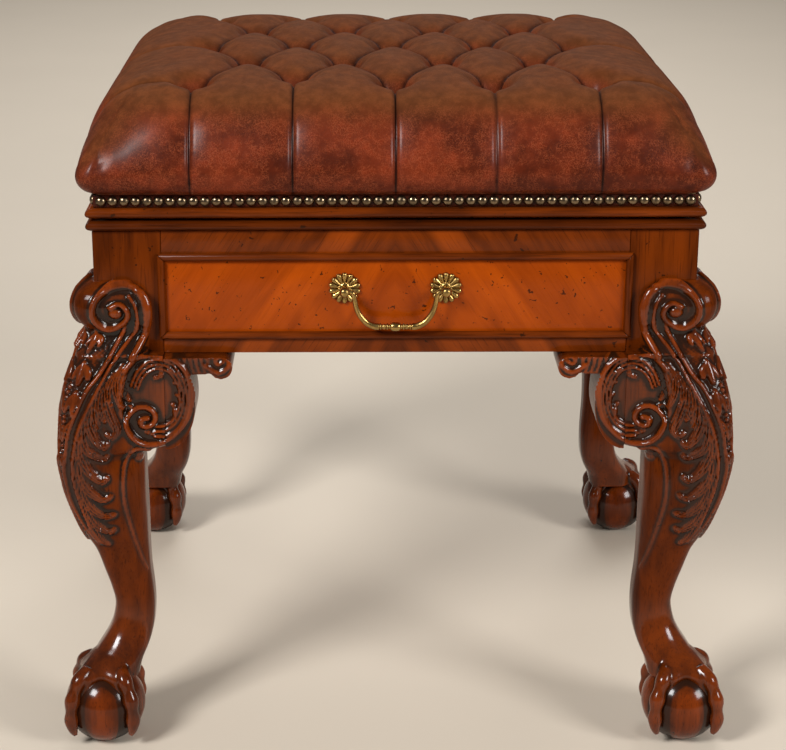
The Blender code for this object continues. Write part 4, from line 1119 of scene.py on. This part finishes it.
def wood(
    name,
    turn,
    light,
    dark,
    carved=False,
    specks=0.0,
    feather=0.0,
    broad=14.0,
    gloss=0.30,
    speck_scale=120.0,
    polish=0.20,
    mottle=0.55,
    pores=0.45,
):
    """Polished wood. Carved wood also gets glaze and painted shade in its recesses, and feathered wood
    slanting stripes.
    """
    if name in bpy.data.materials:
        return bpy.data.materials[name]
    finish = bpy.context.scene.bench_finish
    material, s, surface = new_material(name)
    vector = grain_vector(s, turn)
    grain = s.add("ShaderNodeGroup", node_tree=wood_grain_group())
    s.feed(grain.inputs["Vector"], vector)
    grain.inputs["Broad"].default_value = broad
    streak = s.fade(grain.outputs["Streak"], 0.34, 0.66)
    tint = s.mix(streak, colour(dark), colour(light))
    warm = s.mix(s.fade(grain.outputs["Figure"], 0.30, 0.72), colour(dark, 1.5), colour(light, 1.22))
    tint = s.mix(mottle, tint, warm)
    if feather:
        stripes = s.noise(s.stretch(vector, 0.16), 30.0, 2.0)
        lit = s.math("MULTIPLY", s.fade(stripes.outputs["Fac"], 0.46, 0.66), feather)
        tint = s.mix(lit, tint, colour(light, 1.9))
    tint = s.mix(s.math("MULTIPLY", grain.outputs["Pores"], pores), tint, colour(dark, 0.5))
    rough = s.math("MULTIPLY_ADD", grain.outputs["Streak"], 0.12)
    rough.node.inputs[2].default_value = gloss - 0.06
    if specks:
        speck = s.add("ShaderNodeGroup", node_tree=specks_group())
        s.feed(speck.inputs["Vector"], s.place())
        speck.inputs["Amount"].default_value = specks
        speck.inputs["Scale"].default_value = speck_scale
        tint = s.mix(s.math("MULTIPLY", speck.outputs[0], 0.8), tint, colour(finish.glaze))
    if carved:
        # Glaze with painted shade in recesses, and raised spots lightened as rubbed wear with painted
        # highlight
        depth = s.attribute("carve")
        glaze = s.add("ShaderNodeGroup", node_tree=glaze_and_shade_group())
        s.feed(glaze.inputs["Color"], tint)
        glaze.inputs["Glaze"].default_value = colour(finish.glaze)
        s.feed(glaze.inputs["Carve"], depth)
        s.feed(glaze.inputs["Patch"], grain.outputs["Figure"])
        tint = glaze.outputs["Color"]
        rough = s.between(glaze.outputs["Recess"], gloss - 0.03, gloss + 0.14)
        shine = s.attribute("shine")
        polish = s.between(shine, 0.14, polish)
    s.finish(surface, base_color=tint, roughness=rough, coat_weight=polish)
    s.finish(surface, specular_ior_level=0.02, coat_roughness=0.14)
    height = s.math("ADD", s.math("MULTIPLY", grain.outputs["Pores"], -0.6), grain.outputs["Streak"])
    s.finish(surface, normal=s.bump(height, 0.12, 0.0004))
    return material


def leather_material():
    if "oxblood_leather" in bpy.data.materials:
        return bpy.data.materials["oxblood_leather"]
    finish = bpy.context.scene.bench_finish
    material, s, surface = new_material("oxblood_leather")
    place = s.place()
    broad = s.noise(place, 22.0, 5.0, 0.62)
    mottle = s.noise(place, 95.0, 4.0, 0.65)
    warp = s.mix(0.014, place, mottle.outputs["Color"], "ADD")
    veins = s.add("ShaderNodeTexVoronoi", {"Vector": warp, "Scale": 470.0}, feature="DISTANCE_TO_EDGE")
    fine = s.add("ShaderNodeTexVoronoi", {"Vector": warp, "Scale": 1100.0}, feature="DISTANCE_TO_EDGE")
    fold = s.attribute("fold")
    worn = s.attribute("worn")
    clouds = s.fade(broad.outputs["Fac"], 0.36, 0.66)
    base = s.mix(clouds, colour(finish.leather, 0.50), colour(finish.leather, 1.22))
    brighter = s.mix(1.0, base, (1.35, 1.30, 1.25, 1), "MULTIPLY")
    base = s.mix(s.fade(mottle.outputs["Fac"], 0.42, 0.68), base, brighter)
    patches = s.fade(mottle.outputs["Fac"], 0.34, 0.58)
    crackle = s.math("MULTIPLY", s.fade(veins.outputs["Distance"], 0.12, 0.01), patches)
    base = s.mix(s.math("MULTIPLY", crackle, 0.50), base, (0.27, 0.060, 0.020, 1))
    rubbing = s.fade(mottle.outputs["Fac"], 0.30, 0.75)
    top = s.mix(rubbing, colour(finish.leather_worn, 0.80), colour(finish.leather_worn, 1.25))
    # Up-facing leather gets the browner, lighter top colour: partly wear, partly painted light
    base = s.mix(s.math("MULTIPLY", worn, 0.85), base, top)
    # Painted shade in folds and round pits; the buttons and the border get a set amount
    base = s.mix(fold, base, (0.010, 0.0025, 0.0015, 1))
    sheen = s.between(broad.outputs["Fac"], 0.34, 0.50)
    rough = s.math("MULTIPLY_ADD", worn, 0.40)
    s.feed(rough.node.inputs[2], sheen)
    coat = s.between(worn, 0.18, 0.0, 0.7)
    s.finish(surface, base_color=base, roughness=rough, coat_weight=coat)
    s.finish(surface, specular_ior_level=0.05, coat_roughness=0.24)
    pebbles = s.fade(fine.outputs["Distance"], 0.0, 0.25)
    cracks = s.math("MULTIPLY", s.fade(veins.outputs["Distance"], 0.0, 0.10), 1.2)
    s.finish(surface, normal=s.bump(s.math("ADD", pebbles, cracks), 0.22, 0.0004))
    return material


def brass_material(name, tint, tarnish):
    if name in bpy.data.materials:
        return bpy.data.materials[name]
    material, s, surface = new_material(name)
    place = s.place()
    cloud = s.noise(place, 160.0, 5.0, 0.6)
    age = s.fade(cloud.outputs["Fac"], 0.35, 0.70)
    aged = s.mix(s.math("MULTIPLY", age, tarnish), colour(tint), colour(tint, 0.30))
    s.finish(surface, base_color=aged, roughness=s.between(age, 0.20, 0.42), metallic=1.0)
    s.finish(surface, normal=s.bump(cloud.outputs["Fac"], 0.15, 0.0003))
    return material


def mahogany(kind):
    """The bench's mahogany by use: carved, long or deep (along X or Y), these in shadow, or feathered."""
    finish = bpy.context.scene.bench_finish
    uses = {
        "carved": dict(
            turn=ALONG_Z, shade=0.98, carved=True, specks=0.08, gloss=0.24, speck_scale=170.0, polish=0.62
        ),
        "long": dict(turn=ALONG_X, shade=1.20, specks=0.14),
        "deep": dict(turn=ALONG_Y, shade=1.20, specks=0.14),
        "feathered": dict(turn=FEATHER, shade=1.22, specks=0.14, feather=0.5),
        "shadowed_long": dict(turn=ALONG_X, shade=0.62, specks=0.10),
        "shadowed_deep": dict(turn=ALONG_Y, shade=0.62, specks=0.10),
    }
    settings = uses[kind]
    shade = settings.pop("shade")
    light = [value * shade for value in finish.mahogany]
    dark = [value * shade for value in finish.mahogany_dark]
    return wood(f"mahogany_{kind}", light=light, dark=dark, **settings)


def veneer():
    finish = bpy.context.scene.bench_finish
    return wood(
        "figured_veneer",
        FEATHER,
        finish.veneer,
        finish.veneer_dark,
        specks=0.34,
        feather=0.10,
        broad=22.0,
        gloss=0.27,
        speck_scale=230.0,
        mottle=0.75,
        pores=0.18,
    )


def lining(turn, name):
    finish = bpy.context.scene.bench_finish
    dark = [value * 0.55 for value in finish.lining]
    return wood(name, turn, finish.lining, dark, specks=0.10, broad=10.0, gloss=0.55)


class BENCH_OT_legs(bpy.types.Operator):
    """Carve the four legs and their knee blocks"""

    bl_idname = "bench.legs"
    bl_label = "Carved legs"

    def execute(self, context):
        leg = carved_leg()
        block = carved_knee_block()
        swap = Matrix(((0, 1, 0, 0), (1, 0, 0, 0), (0, 0, 1, 0), (0, 0, 0, 1)))
        finish = mahogany("carved")
        for index, corner in enumerate(CORNERS):
            end = corner.split("_")[0]
            place = at_corner(index)
            mesh = turned_copy(leg, f"leg_{corner}_carved", place)
            add_piece(f"leg_{corner}_carved", mesh, finish, "case", [f"leg_{corner}"])
            for way in (end, "side"):
                along_front = (way == end) == (index % 2 == 0)
                matrix = place if along_front else place @ swap
                name = f"knee_block_{corner}_{way}"
                mesh = turned_copy(block, f"{name}_carved", matrix)
                add_piece(f"{name}_carved", mesh, finish, "case", [name])
        bpy.data.meshes.remove(leg)
        bpy.data.meshes.remove(block)
        return {"FINISHED"}


class BENCH_OT_case(bpy.types.Operator):
    """Finish the rails, the mouldings and the drawer's supports"""

    bl_idname = "bench.case"
    bl_label = "Case"

    def execute(self, context):
        uses = {
            "front_top_rail": "feathered",
            "front_bottom_rail": "feathered",
            "back_rail": "long",
            "left_rail": "deep",
            "right_rail": "deep",
        }
        for kind, finish in (("frame_moulding", "shadowed_"), ("seat_moulding", "")):
            for side in ("front", "back"):
                uses[f"{kind}_{side}"] = finish + "long"
            for side in ("left", "right"):
                uses[f"{kind}_{side}"] = finish + "deep"
        for node, use in uses.items():
            mesh = refined(node, WOOD_ARRIS)
            add_piece(f"{node}_polished", mesh, mahogany(use), "case", [node])
        bare = lining(ALONG_Y, "lining_deep")
        for kind in ("runner", "guide", "kicker", "stop"):
            for side in ("left", "right"):
                node = f"drawer_{kind}_{side}"
                add_piece(f"{node}_planed", refined(node, WOOD_ARRIS), bare, "case", [node])
        long = lining(ALONG_X, "lining_long")
        board = refined("seat_board", BOARD_ARRIS)
        add_piece("seat_board_planed", board, long, "case", ["seat_board"])
        return {"FINISHED"}


class BENCH_OT_drawer(bpy.types.Operator):
    """Finish the drawer, its veneered front and the beads round it"""

    bl_idname = "bench.drawer"
    bl_label = "Drawer"

    def execute(self, context):
        front = refined("drawer_front", FINE_ARRIS)
        add_piece("drawer_front_veneered", front, veneer(), "drawer", ["drawer_front"])
        for side, use in (("top", "long"), ("bottom", "long"), ("left", "carved"), ("right", "carved")):
            node = f"drawer_bead_{side}"
            mesh = refined(node, FINE_ARRIS, 60)
            if use == "carved":
                set_even(mesh, carve=PLAIN_WOOD)
            add_piece(f"{node}_polished", mesh, mahogany(use), "drawer", [node])
        bare = lining(ALONG_Y, "lining_deep")
        long = lining(ALONG_X, "lining_long")
        for node, finish in (
            ("drawer_side_left", bare),
            ("drawer_side_right", bare),
            ("drawer_back", long),
            ("drawer_bottom", long),
        ):
            add_piece(f"{node}_planed", refined(node, WOOD_ARRIS), finish, "drawer", [node])
        return {"FINISHED"}


def rosette_mesh(name, middle):
    """A brass rosette: petals round a collar, a neck and the ball that holds the bail."""
    profile = through(ROSETTE_PROFILE, 85)
    last = len(profile) - 1

    def place(turn, share):
        k = round(share * last)
        reach, out = profile[k]
        angle = math.tau * turn
        lobe = abs(math.sin(PETALS * angle / 2)) ** 0.6
        petal = float(smooth_step(0.30, 0.46, reach)) * (out > 0)
        reach *= 1 - 0.15 * (1 - lobe) * float(smooth_step(0.6, 0.95, reach))
        out = out + petal * (1.7 * lobe - 1.2)
        side = Vector((math.cos(angle), 0, math.sin(angle))) * reach * ROSETTE_RADIUS
        return Vector((middle.x, FRONT - GAP - out * MM, middle.z)) + side

    return mesh_of(name, wrapped(PETALS * 10, last, place), 50)


def bail_mesh():
    """The bail: two bent arms that hang from their pins, with a turned grip between them."""
    stations = [(-across, fall, wide) for across, fall, wide in BAIL_ARM] + [BAIL_MIDDLE]
    stations += [(across, fall, wide) for across, fall, wide in reversed(BAIL_ARM)]
    line = through(stations, 6 * len(stations))
    path = [PULL_AXIS + Vector((across * PULL_HALF, 0, -fall * BAIL_DROP)) for across, fall, wide in line]
    radii = [wide * MM for across, fall, wide in line]
    return mesh_of("bail", rod(path, radii, (0, 1, 0), 18), 60)


class BENCH_OT_pull(bpy.types.Operator):
    """Make the brass rosettes and the bail"""

    bl_idname = "bench.pull"
    bl_label = "Brass pull"

    def execute(self, context):
        brass = brass_material("pull_brass", context.scene.bench_finish.brass, 0.55)
        for side, sign in (("left", -1), ("right", 1)):
            middle = Vector((sign * PULL_HALF, PULL_AXIS.y, PULL_AXIS.z))
            mesh = rosette_mesh(f"rosette_{side}_cast", middle)
            add_piece(f"rosette_{side}_cast", mesh, brass, "drawer", [f"rosette_{side}"])
        add_piece("bail_cast", bail_mesh(), brass, "bail", ["bail_handle"])
        return {"FINISHED"}


def tuft_spots():
    """Places of the tufts, five and four to a row by turns, and their shares of the full depth."""
    spots = []
    depths = []
    for row in range(-2, 3):
        columns = (-2, -1, 0, 1, 2) if row % 2 == 0 else (-1.5, -0.5, 0.5, 1.5)
        for column in columns:
            across, back, depth = STRAY_TUFTS.get((column, row), (0.0, 0.0, 1.0))
            spots.append((column * TUFT_PITCH_X + across, row * TUFT_PITCH_Y + back))
            depths.append(depth)
    return spots, depths


def pleat_lines(spots):
    """Folds between tufts, and folds that run from the outer tufts over the edge."""
    inner = []
    outer = []
    far = 1.0
    for x, y in spots:
        for side in (-0.5, 0.5):
            beyond = (x + side * TUFT_PITCH_X, y + TUFT_PITCH_Y)
            near = min(spots, key=lambda spot: math.dist(beyond, spot))
            if math.dist(beyond, near) < TUFT_PITCH_X / 4:
                inner.append(((x, y), near))
        if abs(y) > 1.5 * TUFT_PITCH_Y:
            outer.append(((x, y), (x, math.copysign(far, y))))
        if abs(x) > 1.75 * TUFT_PITCH_X:
            outer.append(((x, y), (math.copysign(far, x), y)))
    return inner, outer


def line_distance(spots, line):
    start = np.array(line[0])
    way = np.array(line[1]) - start
    share = np.clip((spots - start) @ way / (way @ way), 0, 1)
    off = spots - start - share[:, None] * way
    return np.hypot(off[:, 0], off[:, 1]), share


def drawn_in(spot):
    """Rounds the seat's corners in plan, more towards the top, where the leather is pulled tight."""
    over_x = (abs(spot.x) - HALF_WIDTH) / CORNER_REACH + 1
    over_y = (abs(spot.y) - HALF_DEPTH) / CORNER_REACH + 1
    if over_x <= 0 or over_y <= 0:
        return spot
    square = max(over_x, over_y)
    round_corner = (over_x**CORNER_POWER + over_y**CORNER_POWER) ** (1 / CORNER_POWER)
    tight = float(smooth_step(0.008, 0.070, spot.z - CUSHION_LOW.z))
    pull = (square / round_corner - 1) * tight
    x = spot.x + pull * math.copysign(over_x * CORNER_REACH, spot.x)
    y = spot.y + pull * math.copysign(over_y * CORNER_REACH, spot.y)
    return Vector((x, y, spot.z))


def edge_place(leads, place, over, flat, corner, lean):
    """Place along one axis on the folded rim, which is flat up to its rounded corner."""
    if leads:
        return flat + corner * math.cos(lean)
    if over or abs(place) > flat:
        return flat + corner * math.sin(lean)
    return abs(place)


def leather_square():
    """One square of leather wrapped over the seat: a grid whose rim is folded down round the edge."""
    step_x = TUFT_PITCH_X / TUFT_STEPS_X
    step_y = TUFT_PITCH_Y / TUFT_STEPS_Y
    rim = -SEAT_ROLL[0][0]
    count_x = round((HALF_WIDTH - rim) / step_x)
    count_y = round((HALF_DEPTH - rim) / step_y)
    sides = 40
    roll = through(SEAT_ROLL, sides + 1)
    crown = through(SEAT_CROWN, 200)
    base = CUSHION_LOW.z
    bm = bmesh.new()
    bmesh.ops.create_grid(bm, x_segments=2 * (count_x + sides), y_segments=2 * (count_y + sides), size=0.5)

    def fold(share, count, half):
        """Place across the top and steps down the side, for one of the grid's two ways."""
        k = round(share * 2 * (count + sides)) - count - sides
        over = max(abs(k) - count, 0)
        inside = min(abs(k), count) / count * (half - rim)
        return math.copysign(inside, k), over

    for vert in bm.verts:
        x, over_x = fold(vert.co.x + 0.5, count_x, HALF_WIDTH)
        y, over_y = fold(vert.co.y + 0.5, count_y, HALF_DEPTH)
        over = max(over_x, over_y)
        if over == 0:
            near_x = HALF_WIDTH - abs(x)
            near_y = HALF_DEPTH - abs(y)
            blend = 0.5 + 0.5 * max(-1, min(1, (near_x - near_y) / CORNER_BLEND))
            near = near_x + (near_y - near_x) * blend - CORNER_DIP * blend * (1 - blend)
            height = float(np.interp(-near, crown[:, 0], crown[:, 1]))
            vert.co = (x, y, base + height)
            continue
        out, height = roll[over]
        corner = CORNER_ROUND * float(smooth_step(0.0, 0.55, over / sides)) + 0.001
        half_x = HALF_WIDTH + out
        half_y = HALF_DEPTH + out
        lean = math.radians(45) * min(over_x, over_y) / over
        place_x = edge_place(over_x >= over_y, x, over_x, half_x - corner, corner, lean)
        place_y = edge_place(over_x < over_y, y, over_y, half_y - corner, corner, lean)
        vert.co = (math.copysign(place_x, x), math.copysign(place_y, y), base + height)
    for vert in bm.verts:
        vert.co = drawn_in(vert.co)
    fill_holes(bm)
    bmesh.ops.recalc_face_normals(bm, faces=bm.faces)
    return mesh_of("tufted_leather", bm, 180)


def bell(distance, width):
    """1 at no distance, falling off over about that width."""
    return np.exp(-((distance / width) ** 2))


def tufted_cushion():
    """The seat's leather, drawn in at its tufts and folded along its pleats, with painted shade along its
    folds and round its pits.
    """
    settings = bpy.context.scene.bench_seat
    mesh = leather_square()
    spots = spots_of(mesh)
    ends = edges_of(mesh)
    held = smooth_step(0.004, 0.012, spots[:, 2] - CUSHION_LOW.z)
    spots += (averaged(spots, ends, 10) - spots) * held[:, None]
    move_to(mesh, spots)
    normals = normals_of(mesh)
    plan = spots[:, :2]
    tufts, depths = tuft_spots()
    inner, outer = pleat_lines(tufts)
    valley = np.zeros(len(spots))
    slit = np.zeros(len(spots))
    fold = np.zeros(len(spots))
    rise = spots[:, 2] - CUSHION_LOW.z
    for line in inner:
        distance, share = line_distance(plan, line)
        middle = 1 - 0.35 * np.sin(math.pi * share)
        slit = np.maximum(slit, settings.pleat * middle * np.exp(-distance / SLIT_WIDTH))
        valley = np.maximum(valley, 1.9 * settings.pleat * middle * bell(distance, VALLEY_WIDTH))
        fold = np.maximum(fold, bell(distance, LINE_WIDTH))
    for line in outer:
        distance, share = line_distance(plan, line)
        sideways = abs(line[1][0] - line[0][0]) > 0.1
        wide = 2.0 if sideways else 1.2
        slit = np.maximum(slit, 0.75 * settings.pleat * np.exp(-distance / (wide * MM)))
        valley = np.maximum(valley, 0.45 * settings.pleat * bell(distance, SIDE_VALLEY_WIDTH))
        fold = np.maximum(fold, bell(distance, 0.8 * wide * MM))
    for axis, half in ((0, HALF_WIDTH), (1, HALF_DEPTH)):
        low_side = smooth_step(0.046, 0.020, rise) * smooth_step(0.45, 0.8, np.abs(normals[:, 1 - axis]))
        distance = np.abs(np.abs(plan[:, axis]) - (half - CORNER_PLEAT))
        slit = np.maximum(slit, 0.45 * settings.pleat * low_side * np.exp(-distance / (1.6 * MM)))
        fold = np.maximum(fold, 0.8 * low_side * bell(distance, 0.9 * MM))
    pit = np.zeros(len(spots))
    for (x, y), depth in zip(tufts, depths):
        reach = np.hypot(plan[:, 0] - x, plan[:, 1] - y)
        pit = np.maximum(pit, depth * settings.tuft * bell(reach, PIT_WIDTH) * (normals[:, 2] > 0))
        fold = np.maximum(fold, bell(reach, PIT_SHADE_WIDTH) * (normals[:, 2] > 0))
    sink = averaged(valley, ends, 40) + slit + pit
    sink *= smooth_step(0.0, 0.010, rise)
    move_to(mesh, spots - normals * sink[:, None])
    # The fold value is painted shade along the folds, beside the corners and round the pits
    set_attribute(mesh, "fold", np.clip(fold, 0, 1) * 0.92)
    # Up-facing leather gets the browner, lighter top colour, partly wear and partly painted light, with less
    # of it in hollows
    hollow = 0.75 * smooth_step(0.004, 0.016, sink)
    set_attribute(mesh, "worn", smooth_step(0.40, 0.92, normals[:, 2]) * (1 - hollow))
    return mesh


def tuft_buttons(cushion):
    """Small covered buttons, one at the bottom of each tuft."""
    spots = spots_of(cushion)
    bm = bmesh.new()
    for x, y in tuft_spots()[0]:
        near = np.hypot(spots[:, 0] - x, spots[:, 1] - y) < BUTTON_RADIUS / 2
        floor = spots[near & (spots[:, 2] > SEAT_TOP + 0.03), 2].min()
        place = Matrix.Translation((x, y, floor + BUTTON_RADIUS / 3)) @ Matrix.Diagonal((1, 1, 0.55, 1))
        bmesh.ops.create_uvsphere(bm, u_segments=12, v_segments=8, radius=BUTTON_RADIUS, matrix=place)
    mesh = mesh_of("tuft_buttons", bm, 180)
    # The buttons are darkened with part of the dark that paints the folds' shade, and get none of the top
    # colour
    set_even(mesh, fold=0.35, worn=0.0)
    return mesh


class BENCH_OT_seat(bpy.types.Operator):
    """Make the tufted leather seat, its buttons and its border"""

    bl_idname = "bench.seat"
    bl_label = "Tufted seat"

    def execute(self, context):
        leather = leather_material()
        seat = add_piece("cushion_tufted", tufted_cushion(), leather, "case", ["cushion"])
        add_piece("tuft_buttons", tuft_buttons(seat.data), leather, "case")
        border = refined("leather_border", FINE_ARRIS)
        # The border is darkened with part of the dark that paints the folds' shade, and gets none of the top
        # colour
        set_even(border, fold=0.55, worn=0.0)
        add_piece("leather_border_tacked", border, leather, "case", ["leather_border"])
        return {"FINISHED"}


class BENCH_OT_nails(bpy.types.Operator):
    """Set the close row of nails round the seat"""

    bl_idname = "bench.nails"
    bl_label = "Nails"

    def execute(self, context):
        radius = context.scene.bench_seat.nail
        height = (BORDER_LOW.z + BORDER_HIGH.z) / 2
        bm = bmesh.new()
        for turn in range(4):
            half, away = BORDER_HIGH.xy if turn % 2 == 0 else BORDER_HIGH.yx
            reach = half - radius * 0.4
            count = round(2 * reach / (2 * radius + NAIL_GAP))
            for k in range(count):
                along = -reach + 2 * reach * (k + 0.5) / count
                flat = Matrix.Diagonal((1, 0.78, 1, 1))
                side = Matrix.Rotation(turn * math.pi / 2, 4, "Z")
                place = side @ Matrix.Translation((along, -away, height)) @ flat
                bmesh.ops.create_uvsphere(bm, u_segments=12, v_segments=8, radius=radius, matrix=place)
        brass = brass_material("nail_brass", context.scene.bench_finish.nail, 0.75)
        add_piece("upholstery_nails", mesh_of("upholstery_nails", bm, 180), brass, "case")
        return {"FINISHED"}


class BENCH_OT_stage(bpy.types.Operator):
    """Set up the floor, the lights and the camera"""

    bl_idname = "bench.stage"
    bl_label = "Stage"

    def execute(self, context):
        scene = context.scene
        settings = scene.bench_stage
        scene.view_settings.view_transform = "Standard"
        bm = bmesh.new()
        bmesh.ops.create_grid(bm, x_segments=2, y_segments=2, size=12)
        floor = bpy.data.objects.new("floor", mesh_of("floor", bm))
        scene.collection.objects.link(floor)
        material, s, surface = new_material("pale_floor")
        place = s.place()
        cloud = s.noise(place, 3.0, 4.0)
        s.feed(
            surface.inputs["Base Color"],
            s.mix(cloud.outputs["Fac"], colour(settings.floor, 0.97), colour(settings.floor, 1.03)),
        )
        surface.inputs["Roughness"].default_value = 0.7
        floor.data.materials.append(material)
        world = bpy.data.worlds.new("soft_studio")
        world.use_nodes = True
        world.node_tree.nodes["Background"].inputs[0].default_value = SKY
        world.node_tree.nodes["Background"].inputs[1].default_value = SKY_STRENGTH
        scene.world = world
        for name, spot, size, power in LAMPS:
            light = bpy.data.lights.new(name, "AREA")
            light.size = size
            light.energy = power
            lamp = bpy.data.objects.new(name, light)
            scene.collection.objects.link(lamp)
            lamp.location = spot
            target = Vector(FAR_FLOOR if name == "far" else BENCH_MIDDLE)
            lamp.rotation_euler = (target - Vector(spot)).to_track_quat("-Z", "Y").to_euler()
        camera = bpy.data.objects.new("camera", bpy.data.cameras.new("camera"))
        scene.collection.objects.link(camera)
        camera.data.lens = settings.lens
        camera.data.sensor_width = SENSOR_WIDTH
        camera.data.shift_x, camera.data.shift_y = CAMERA_SHIFT
        camera.location = settings.camera
        camera.rotation_euler = (math.pi / 2 - settings.pitch, CAMERA_ROLL, 0)
        scene.camera = camera
        return {"FINISHED"}


class BENCH_PT_panel(bpy.types.Panel):
    """The bench's steps, in order"""

    bl_idname = "BENCH_PT_panel"
    bl_label = "Mahogany bench"
    bl_space_type = "VIEW_3D"
    bl_region_type = "UI"
    bl_category = "Bench"

    def draw(self, context):
        for step in STEPS:
            self.layout.operator(step.bl_idname)
        for group in ("bench_finish", "bench_carving", "bench_seat", "bench_stage"):
            settings = getattr(context.scene, group)
            for name in settings.__annotations__:
                self.layout.prop(settings, name)


GROUPS = {
    "bench_finish": BenchFinish,
    "bench_carving": BenchCarving,
    "bench_seat": BenchSeat,
    "bench_stage": BenchStage,
}
STEPS = (
    BENCH_OT_stage,
    BENCH_OT_legs,
    BENCH_OT_case,
    BENCH_OT_drawer,
    BENCH_OT_pull,
    BENCH_OT_seat,
    BENCH_OT_nails,
)


def register():
    for name, group in GROUPS.items():
        bpy.utils.register_class(group)
        setattr(bpy.types.Scene, name, bpy.props.PointerProperty(type=group))
    for step in STEPS:
        bpy.utils.register_class(step)
    bpy.utils.register_class(BENCH_PT_panel)


def unregister():
    bpy.utils.unregister_class(BENCH_PT_panel)
    for step in reversed(STEPS):
        bpy.utils.unregister_class(step)
    for name, group in reversed(GROUPS.items()):
        delattr(bpy.types.Scene, name)
        bpy.utils.unregister_class(group)


def main():
    register()
    for step in STEPS:
        family, name = step.bl_idname.split(".")
        getattr(getattr(bpy.ops, family), name)()


if __name__ == "__main__":
    main()
